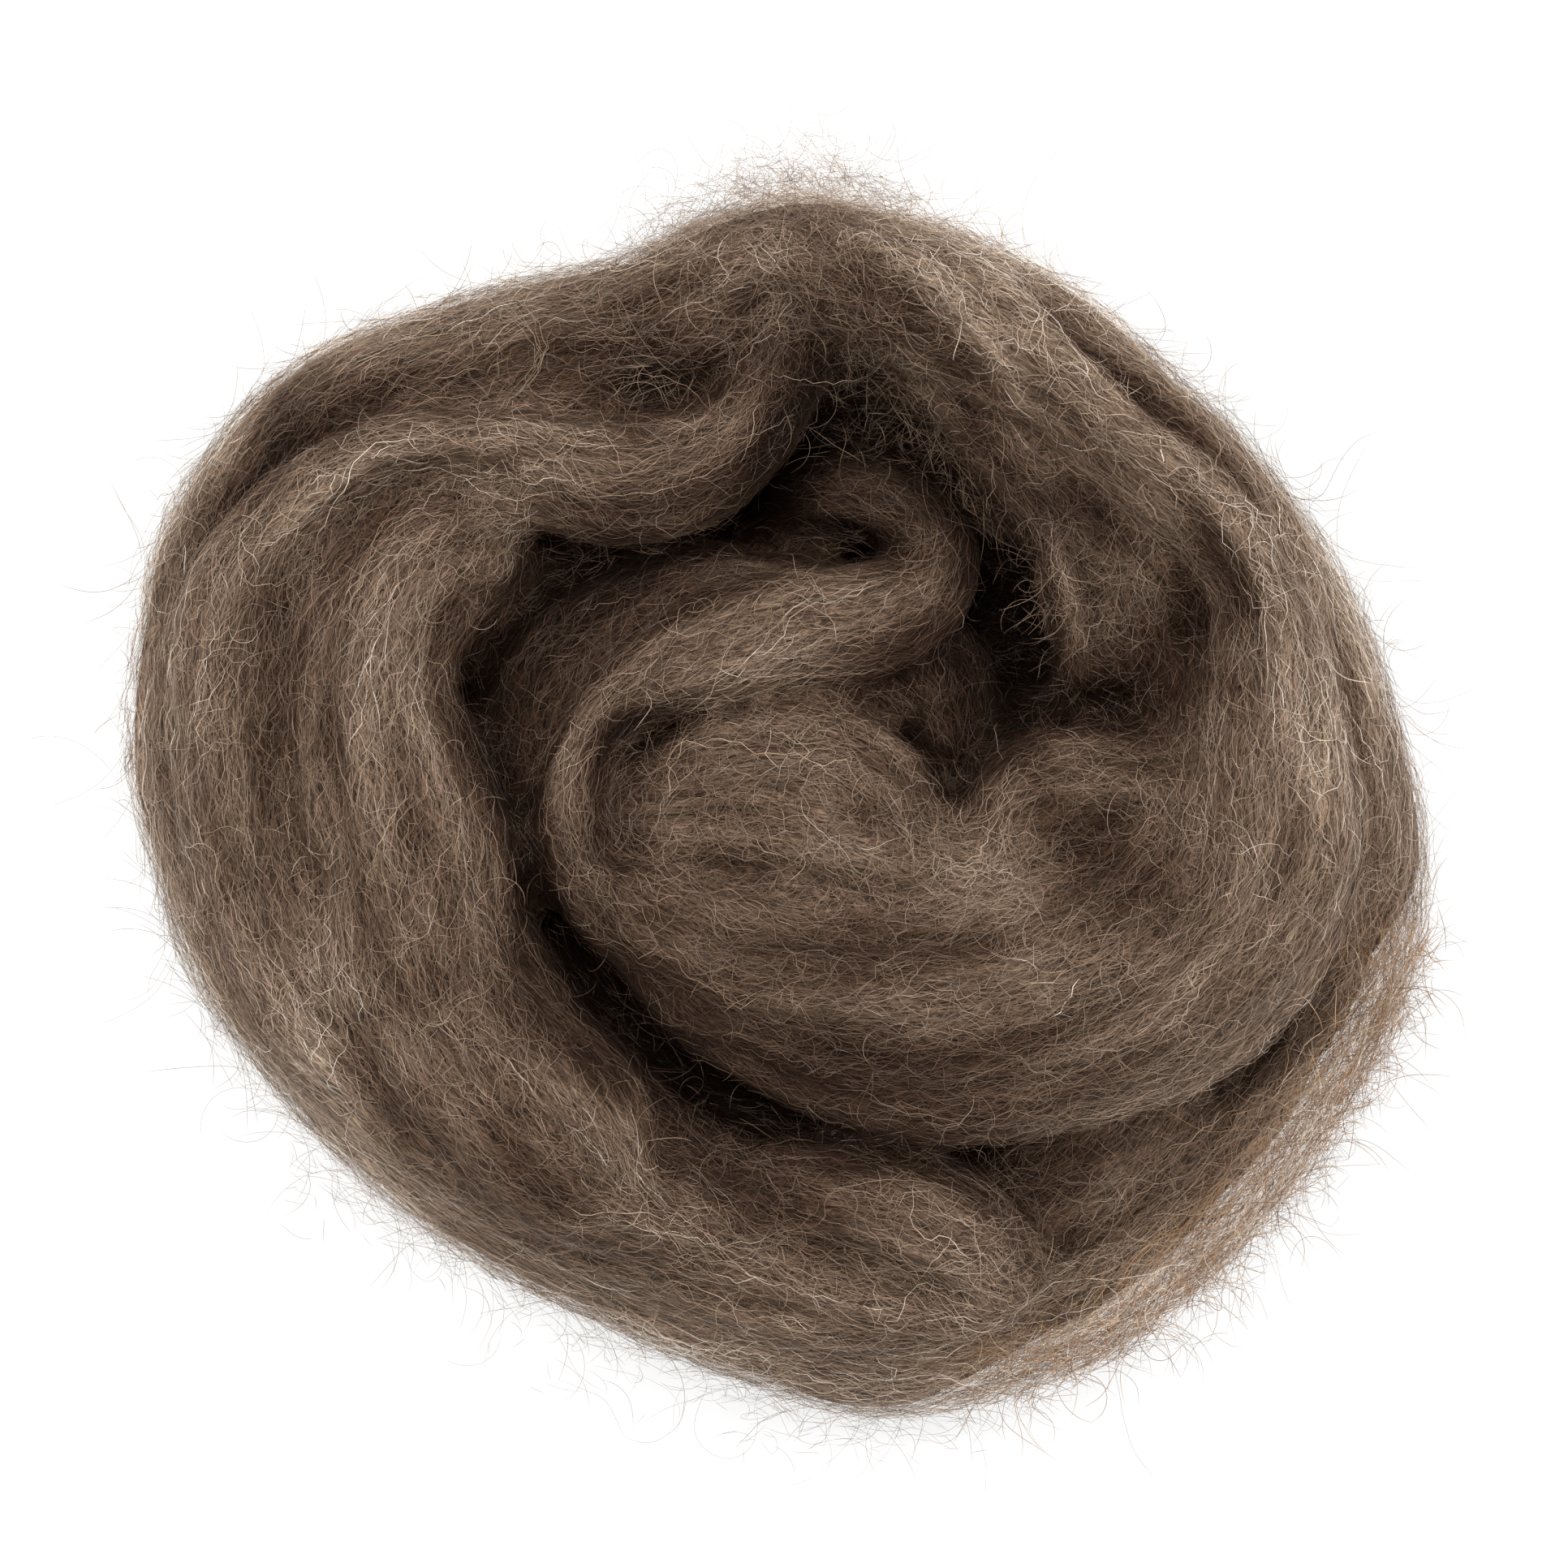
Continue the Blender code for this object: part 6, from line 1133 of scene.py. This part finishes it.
# loose wool teased out along the edge: x, y, z, half length, half width, heading in degrees, spread in degrees, how many, tone
TEASED = [
    (-14, 64.6, 20, 3.5, 0.8, 30, 20, 60, 0.54), (-8, 67.6, 21, 4, 0.8, 25, 25, 90, 0.54), (-3, 70, 22, 3.5, 0.9, 8, 35, 130, 0.54), (2, 71, 22, 4, 1, 0, 50, 160, 0.54), (7.5, 70.8, 22, 4, 0.9, -14, 40, 120, 0.54), (13, 69.4, 22, 3, 1, -28, 28, 90, 0.52), (17, 67.2, 22, 3, 0.8, -34, 22, 50, 0.54),
    (-3, 72.6, 22, 2, 0.8, 60, 50, 30, 0.62), (-8, 70.4, 22, 4, 0.8, 20, 20, 24, 0.64), (6, 73.6, 22, 2.2, 1, -45, 40, 36, 0.62), (4, 75.8, 22, 1.2, 1, -60, 30, 8, 0.66), (-4, 75, 22, 1.2, 1, 70, 30, 5, 0.66),
    (29, -66, 8, 4, 1, 18, 26, 80, 0.48), (37, -62, 8, 4, 1.1, 27, 26, 90, 0.48), (45, -57, 8, 4, 1.2, 36, 28, 100, 0.46), (52.5, -51, 8, 4, 1.2, 42, 28, 100, 0.46), (59.5, -44, 8, 4, 1.2, 49, 28, 100, 0.46), (65, -36.5, 8, 3.5, 1.2, 55, 28, 90, 0.46), (70, -27.5, 9, 3.5, 1.1, 66, 24, 70, 0.46),
    (63, -45, 8, 3, 1.8, 45, 45, 14, 0.62), (55, -55, 8, 3, 1.8, 40, 45, 14, 0.62), (47, -61, 8, 3, 1.6, 34, 45, 12, 0.62),
    (-62, -30, 10, 4, 1, -55, 18, 30, 0.58), (-51, -43.5, 9, 5, 1.1, -44, 20, 40, 0.58), (-38, -53, 9, 5, 1.2, -34, 20, 40, 0.58), (-20, -62.5, 9, 5, 1.2, -25, 20, 44, 0.58), (-2, -69, 9, 6, 1.4, -14, 26, 60, 0.58), (14, -72.5, 9, 5, 1.3, 0, 26, 50, 0.58),
    (-54, -46, 9, 5, 2, -44, 40, 8, 0.64), (-22, -67, 9, 6, 2, -22, 40, 12, 0.64), (4, -75, 8, 8, 2, -8, 40, 18, 0.66),
]
tx = np.array(TEASED, float)
patch = np.repeat(np.arange(len(tx)), tx[:, 7].astype(int))
N_TEASED = len(patch)
turned = np.radians(tx[patch, 5])
along = rng.normal(0, 1, N_TEASED) * tx[patch, 3]; across = rng.normal(0, 1, N_TEASED) * tx[patch, 4]
start = (tx[patch, :3] - fit_mid) * fit_scale + np.stack([along * np.cos(turned) - across * np.sin(turned), along * np.sin(turned) + across * np.cos(turned), rng.normal(0, 2.5, N_TEASED)], 1)
a = turned + np.radians(tx[patch, 6]) * rng.normal(0, 0.8, N_TEASED)
heading = np.stack([np.cos(a), np.sin(a), rng.normal(0, 0.2, N_TEASED)], 1)
length = np.clip(rng.gamma(2.6, 2.0, N_TEASED), 1.5, 14)
p, nr, ids, t, num = free(start - heading * length[:, None] / 2, heading, length, rng.uniform(1.4, 6.0, N_TEASED), rng, step=0.7)
b = np.clip(tx[patch, 8] + rng.normal(0, 0.06, N_TEASED), 0.05, 0.95)[ids]
# teased wool at the lower right (x over 20) is warmer: a painted glow of light coming through it
h = np.clip(np.where(tx[patch, 0] > 20, 0.95, 0.35) + rng.normal(0, 0.1, N_TEASED), 0.01, 0.99)[ids]
pieces.append(ribbons(p, nr, ids, t, np.stack([h, b], 1), rng.uniform(0.026, 0.042, N_TEASED)[ids], rng.uniform(-0.5, 0.5, N_TEASED)[ids], taper=0.25))
verts, faces, uvs, base = [], [], [], 0
for v, f, _, uv in pieces:
    verts.append(v); faces.append(f + base); uvs.append(uv); base += len(v)
make_piece("halo_fibres", np.vstack(verts), np.vstack(faces), None, {"OFBake": np.vstack(uvs)}, wool)
total += sum(len(f) for f in faces) * 2
print("halo", sum(len(f) for f in faces) * 2, "tris in all", total, round(time.perf_counter() - T0, 1), "s")

# ------------------------------------------------------------------ the nap: short curls standing just off the wool
rng = np.random.default_rng(47)
N_NAP = 9500
# places with more of it, seen in plan (x, y, reach, how much more)
FUZZY = [(3, 64, 11, 2.2), (10, 50, 10, 2.0), (-15, 50, 9, 0.9), (28, -46, 8, 1.2), (36, 27, 8, 1.2), (-35, 53, 9, 1.2), (-62, 32, 8, 0.9), (0, -4, 12, -0.5), (20, -8, 8, -0.35), (60, 5, 12, -0.5), (10, -20, 8, -0.3), (27, 53, 9, 0.8), (-8, -43, 6, 0.8)]
more = np.ones(len(quads))
for x, y, size, gain in FUZZY:
    d2 = (face_mid[:, 0] - (x - fit_mid[0]) * fit_scale[0]) ** 2 + (face_mid[:, 1] - (y - fit_mid[1]) * fit_scale[1]) ** 2
    more += gain * np.exp(-d2 / size ** 2)
prob = seen * face_area * more * smoothstep(-0.05, 0.25, face_norm[:, 2]) * (0.5 + 1.2 * np.clip(face_dis, 0, 0.6)) * (0.45 + 0.55 * smoothstep(0.1, 0.45, face_open))
q = rng.choice(len(quads), N_NAP, p=prob / prob.sum())
a = np.arctan2(rng.normal(0, 1, N_NAP), 1.1)[:, None]
sign = np.where(rng.random(N_NAP) < 0.5, -1.0, 1.0)[:, None]
rise = rng.uniform(0.0, 0.42, N_NAP)[:, None] * smoothstep(0.05, 0.75, face_norm[q, 2])[:, None]
heading = sign * (face_dir[q] * np.cos(a) + face_side[q] * np.sin(a)) * (1 - 0.5 * rise) + face_norm[q] * rise
start = face_mid[q] + rng.normal(0, 0.4, (N_NAP, 3)) - face_norm[q] * 0.15
length = np.clip(rng.gamma(3.0, 1.25, N_NAP), 1.6, 8)
p, nr, ids, t, num = free(start, heading, length, rng.uniform(1.0, 3.8, N_NAP), rng, step=0.72)
# nap fibres take the painted light and shade of the skin below them
b = np.clip(rng.normal(0.56, 0.12, N_NAP) * (0.10 + 0.86 * face_painted_light[q]), 0.01, 0.99)[ids]
h = np.clip(rng.normal(0.48, 0.12, N_NAP), 0.01, 0.99)[ids]
v, f, tri, uv = ribbons(p, nr, ids, t, np.stack([h, b], 1), rng.uniform(0.034, 0.062, N_NAP)[ids], rng.uniform(-0.6, 0.6, N_NAP)[ids], taper=0.3)
make_piece("nap_fibres", v, f, None, {"OFBake": uv}, wool)
total += len(f) * 2
print("nap", len(f) * 2, "tris in all", total, round(time.perf_counter() - T0, 1), "s")

# ------------------------------------------------------------------ the sheer rim, wisps over the hollows, single pale hairs
rng = np.random.default_rng(59)
pieces = []
N_SHEER = 3100
thin_at = np.where((web > 0.25) & (skin_co[:, 2] > 1.0))[0]
i = rng.choice(thin_at, N_SHEER, p=web[thin_at] / web[thin_at].sum())
away = np.stack([skin_co[i, 0], skin_co[i, 1], np.zeros(N_SHEER)], 1); away /= np.linalg.norm(away, axis=1, keepdims=True)
start = skin_co[i] - away * rng.uniform(-0.5, 3.5, N_SHEER)[:, None] + rng.normal(0, 0.6, (N_SHEER, 3))
start[:, 2] = np.clip(start[:, 2], 0.5, None)
heading = flow[i] * np.where(rng.random(N_SHEER) < 0.5, -1.0, 1.0)[:, None] * 0.9 + rng.normal(0, 0.42, (N_SHEER, 3)) * [1, 1, 0.4]
length = np.clip(rng.gamma(3.0, 2.0, N_SHEER), 2, 14)
p, nr, ids, t, num = free(start, heading, length, rng.uniform(2.0, 8.0, N_SHEER), rng, step=0.95, drop=0.002)
b = np.clip(rng.normal(0.52, 0.11, N_SHEER), 0.05, 0.95)[ids]
# a warm hue on the glow ramp: a painted glow of light coming through the thin wool
h = np.clip(rng.normal(0.90, 0.06, N_SHEER), 0.01, 0.99)[ids]
v, f, _, uv = ribbons(p, nr, ids, t, np.stack([h, b], 1), rng.uniform(0.04, 0.07, N_SHEER)[ids], rng.uniform(-0.5, 0.5, N_SHEER)[ids], taper=0.3)
make_piece("sheer_rim_fibres", v, f, None, {"OFBake": uv}, thin_wool)
total += len(f) * 2

# wisps that bridge the hollows: x, y, z, reach, heading in degrees, spread in degrees, how many, tone; the tone is
# partly painted shade, darker for wisps deep in the dark hollows
WISPS = [
    (8, 52, 33, 4, -50, 60, 80, 0.38), (13, 49, 31, 5.5, -50, 70, 190, 0.40), (18, 43, 28, 4.5, 130, 70, 130, 0.38), (9, 43, 27, 4.5, 10, 70, 50, 0.30),
    (21, 38, 26, 3.5, 115, 40, 80, 0.36), (25, 33, 25, 3, 110, 40, 46, 0.30), (25, 33, 24, 2, 110, 60, 4, 0.2),
    (37, 30, 30, 4, 20, 80, 110, 0.42), (33.5, 26, 30, 2.4, 80, 40, 60, 0.40), (43, 31, 32, 3, 95, 30, 70, 0.46), (39, 26, 30, 2.5, 20, 50, 60, 0.44), (36, 20, 27, 4, 60, 80, 110, 0.42),
    (48, 22, 29, 5, 80, 50, 110, 0.36), (46, 14, 27, 4.5, 60, 80, 100, 0.34), (38, 13, 25, 4.5, 30, 80, 70, 0.28), (20, 3, 23, 3, 90, 60, 30, 0.30), (20, 12, 24, 5, 92, 30, 40, 0.14),
    (-4, 32, 30, 2.5, 20, 50, 10, 0.22), (9.2, 29.3, 29, 1.1, -10, 20, 22, 0.17), (-20, 28, 29, 5, 5, 40, 70, 0.34), (-10, 29, 29, 4, 10, 40, 50, 0.34), (-33, 14, 27, 3, 70, 50, 34, 0.24), (-31, 6, 28, 3, 80, 40, 30, 0.24), (-28, -6, 29, 2.5, 110, 30, 16, 0.24),
    (-24, -16, 28, 2.8, -55, 30, 14, 0.22), (-17, -25, 27, 2.8, -50, 30, 14, 0.20), (-9, -32, 27, 2.8, -40, 30, 14, 0.20), (1, -37.5, 27, 2.8, -18, 30, 16, 0.22), (14, -40.5, 26, 3, -10, 50, 36, 0.28), (26, -42, 24, 3.5, -20, 60, 60, 0.32),
    (-14, 50, 36, 5, 10, 60, 90, 0.42), (-4, 53, 36, 4, 40, 60, 70, 0.42), (3, 59, 39, 4, 60, 60, 80, 0.44), (-17, 7, 31, 2.5, 30, 60, 40, 0.34), (10, 13, 30, 3, 20, 60, 24, 0.32), (-6, -41, 27, 5, -20, 70, 80, 0.34), (6, -42, 27, 4, -10, 70, 60, 0.34),
]
wx = np.array(WISPS, float)
many = wx[:, 6].astype(int)
row = np.repeat(np.arange(len(wx)), many)
N_WISP = len(row)
middle = (wx[row, :3] - fit_mid) * fit_scale
start = middle + rng.normal(0, 0.6, (N_WISP, 3)) * wx[row, 3:4] * [1, 1, 0.18]
a = np.radians(wx[row, 4] + rng.normal(0, 1, N_WISP) * wx[row, 5] * 0.7)
heading = np.stack([np.cos(a), np.sin(a), rng.normal(0, 0.18, N_WISP)], 1)
length = np.clip(rng.gamma(2.6, 2.3, N_WISP), 2, 16)
back = start - heading * length[:, None] / 2
p, nr, ids, t, num = free(back, heading, length, rng.uniform(1.2, 7.0, N_WISP), rng, step=0.7)
b = np.clip(wx[row, 7] + rng.normal(0, 0.07, N_WISP), 0.05, 0.95)[ids]
h = np.clip(rng.normal(0.42, 0.12, N_WISP), 0.01, 0.99)[ids]
pieces.append(ribbons(p, nr, ids, t, np.stack([h, b], 1), rng.uniform(0.035, 0.06, N_WISP)[ids], rng.uniform(-0.5, 0.5, N_WISP)[ids], taper=0.3))

# single hairs that stand out, seen in plan (x, y), with their tone
HAIRS = [
    (0.74, [(-20, 43), (-18.5, 40.5), (-17.5, 38), (-17.5, 36.5), (-19, 37)]),
    (0.80, [(-5, 48), (-3.5, 50.5), (-1, 52.8), (0.2, 53), (0.5, 55), (2, 57.5), (-2, 57.8)]),
    (0.78, [(-42.8, 31.9), (-39.5, 34), (-38.6, 35.2), (-37, 36.4)]), (0.72, [(-29.8, 44.7), (-29.3, 41.3), (-29.6, 38), (-29.2, 35.9)]),
    (0.62, [(-31, 57), (-27.5, 53), (-26.4, 50), (-28, 47.6), (-30.5, 45.6), (-32.6, 43.4)]), (0.60, [(-30, 57.5), (-27, 54.5), (-26.2, 51), (-27.5, 48.6), (-29.5, 46.2), (-33, 42.8)]),
    (0.58, [(-29.3, 58), (-27.6, 55), (-26.9, 51.5), (-28.4, 48.4), (-31, 46), (-33.6, 44)]), (0.56, [(-31.8, 56), (-28.6, 53.5), (-27.2, 50.4), (-28.6, 47.2), (-31.5, 44.8), (-34.5, 43)]),
    (0.60, [(-25.5, 54), (-26.3, 51), (-28, 49), (-28.2, 47), (-26.5, 46.4), (-23.8, 46), (-21.3, 45)]), (0.54, [(-31.4, 51), (-31.8, 48), (-33.4, 45.6), (-34, 43)]),
    (0.56, [(-47, 46), (-44, 48.5), (-42.6, 51), (-41, 53)]), (0.55, [(-44.5, 50), (-41, 48.2), (-38.2, 49.3), (-36, 52)]), (0.54, [(-22.5, 57), (-20, 53.5), (-15.5, 51.8), (-10.5, 51.5)]),
    (0.52, [(-7, 44), (-10, 47), (-14.5, 48.4), (-19, 47.6)]), (0.50, [(-13, 36), (-12.2, 33.5), (-13.5, 31.2), (-11, 29.8)]), (0.52, [(-24, 9), (-21.5, 13.5), (-17, 17.5)]), (0.66, [(26, 0), (25.8, -4), (26.5, -6.5), (27.2, -9.5), (26, -12)]),
    (0.62, [(-30, 57), (-28, 54), (-26.8, 51), (-27, 49), (-29, 46)]), (0.60, [(-1, 48.5), (2, 48), (6, 47.5), (10, 48)]),
    (0.60, [(-11, 40), (-8, 41.3), (-5, 41), (-1, 42), (2, 43.8)]), (0.60, [(18, 66), (21, 60), (22, 57.5)]), (0.56, [(-60, 40), (-55, 42.5)]),
    (0.70, [(28, 36), (31, 36.5), (33, 38.5), (32.5, 40)]), (0.70, [(24.5, 40), (25, 36), (24, 33.5)]), (0.52, [(-22.5, 21.5), (-19, 22.5), (-15.5, 23.5)]),
    (0.50, [(46, 9), (49, 5.5), (50.5, 2)]), (0.60, [(46, 33), (48, 36), (50.5, 39.5), (51, 43)]), (0.58, [(3, 41), (5, 45), (3.5, 48)]), (0.6, [(25.3, 9), (25.3, 6.5), (27, 3)]),
    (0.58, [(-20, 62), (-20, 57), (-20.5, 54)]), (0.55, [(-40, -44), (-35, -46), (-31, -50)]), (0.52, [(14, 4), (17, 2.5), (19, -1)]), (0.55, [(36, -19), (40, -17.5), (45, -17)]),
]
hp, hf, hn, ht, hb = [], [], [], [], []
for k, (tone_of, rows) in enumerate(HAIRS):
    line = in_plan([(x, y, 0) for x, y in rows])
    z = []
    for x, y in line[:, :2]:
        hit = bvh.ray_cast(Vector((x, y, 90)), Vector((0, 0, -1)))
        z.append(hit[0][2] if hit[0] is not None else 20.0)
    z = np.maximum.accumulate(np.maximum(z, max(z) - 9))
    z = 0.5 * z + 0.5 * z.mean() + 0.7 + 0.3 * np.sin(np.arange(len(z)) * 0.9 + k)
    pts = np.column_stack([line[:, :2] + 0.22 * np.stack([np.sin(np.arange(len(z)) * 1.9 + k), np.cos(np.arange(len(z)) * 2.3 + k)], 1), z])
    hp.append(pts); hf.append(np.full(len(pts), k)); ht.append(np.linspace(0, 1, len(pts))); hn.append(np.tile([0.0, 0.0, 1.0], (len(pts), 1))); hb.append(np.full(len(pts), tone_of))
hp, hf, hn, ht, hb = map(np.concatenate, (hp, hf, hn, ht, hb))
v, f, caps, uv = prisms(hp, hn, hf, ht, np.stack([np.full(len(hb), 0.45), hb], 1), np.full(len(hb), 0.065))
make_piece("single_pale_hairs", v, f, caps, {"OFBake": uv}, wool)
total += len(f) * 2 + len(caps)
verts, faces, uvs, base = [], [], [], 0
for v, f, _, uv in pieces:
    verts.append(v); faces.append(f + base); uvs.append(uv); base += len(v)
make_piece("wisps_over_the_hollows", np.vstack(verts), np.vstack(faces), None, {"OFBake": np.vstack(uvs)}, wool)
total += sum(len(f) for f in faces) * 2
print("wisps", sum(len(f) for f in faces) * 2, "tris in all", total, round(time.perf_counter() - T0, 1), "s")

# ------------------------------------------------------------------ stage, light, camera
floor_mesh = bpy.data.meshes.new("floor")
bm = bmesh.new(); bmesh.ops.create_grid(bm, x_segments=1, y_segments=1, size=3.0); bm.to_mesh(floor_mesh); bm.free()
floor = bpy.data.objects.new("floor", floor_mesh)
floor.location.z = -0.0002
bpy.context.scene.collection.objects.link(floor)
fm = bpy.data.materials.new("pale floor"); fm.use_nodes = True
b = fm.node_tree.nodes["Principled BSDF"]
b.inputs["Base Color"].default_value = (0.3, 0.3, 0.3, 1); b.inputs["Roughness"].default_value = 0.9; b.inputs["Specular IOR Level"].default_value = 0.0
b.inputs["Emission Color"].default_value = (1, 1, 1, 1); b.inputs["Emission Strength"].default_value = 0.68
floor_mesh.materials.append(fm)

scene = bpy.context.scene
scene.view_settings.view_transform = "Standard"
world = bpy.data.worlds.new("studio"); scene.world = world; world.use_nodes = True
world.node_tree.nodes["Background"].inputs["Color"].default_value = (1, 1, 1, 1)
world.node_tree.nodes["Background"].inputs["Strength"].default_value = 0.22


def softbox(name, azimuth, elevation, power, size=0.6, distance=1.2):
    a, e = math.radians(azimuth), math.radians(elevation)
    aim_at = Vector((0, 0, 0.03))
    loc = aim_at + distance * Vector((math.cos(e) * math.cos(a), math.cos(e) * math.sin(a), math.sin(e)))
    li = bpy.data.lights.new(name, "AREA"); li.shape = "DISK"; li.size = size; li.energy = power
    ob = bpy.data.objects.new(name, li); ob.location = loc
    ob.rotation_euler = (aim_at - loc).to_track_quat("-Z", "Y").to_euler()
    bpy.context.scene.collection.objects.link(ob)


softbox("left_softbox", 160, 32, 11)
softbox("upper_softbox", 95, 32, 9)
softbox("right_softbox", 15, 32, 11)
softbox("lower_softbox", -80, 32, 8)
softbox("overhead_softbox", 120, 78, 5, size=0.4, distance=1.3)

cam_data = bpy.data.cameras.new("camera")
cam_data.lens = 500.0; cam_data.sensor_width = 36.0; cam_data.clip_start = 0.01; cam_data.clip_end = 20
cam = bpy.data.objects.new("camera", cam_data)
FRAME_WIDTH = 0.0932 * 1932 * MM
REF_Z = 0.018
aim = (np.array([1.025, 1.864]) - fit_mid[:2]) * fit_scale[:2] * MM
cam.location = (aim[0], aim[1], REF_Z + FRAME_WIDTH * cam_data.lens / cam_data.sensor_width)
scene.collection.objects.link(cam)
scene.camera = cam

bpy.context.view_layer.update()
print("scene.py", round(time.perf_counter() - T0, 1), "s")
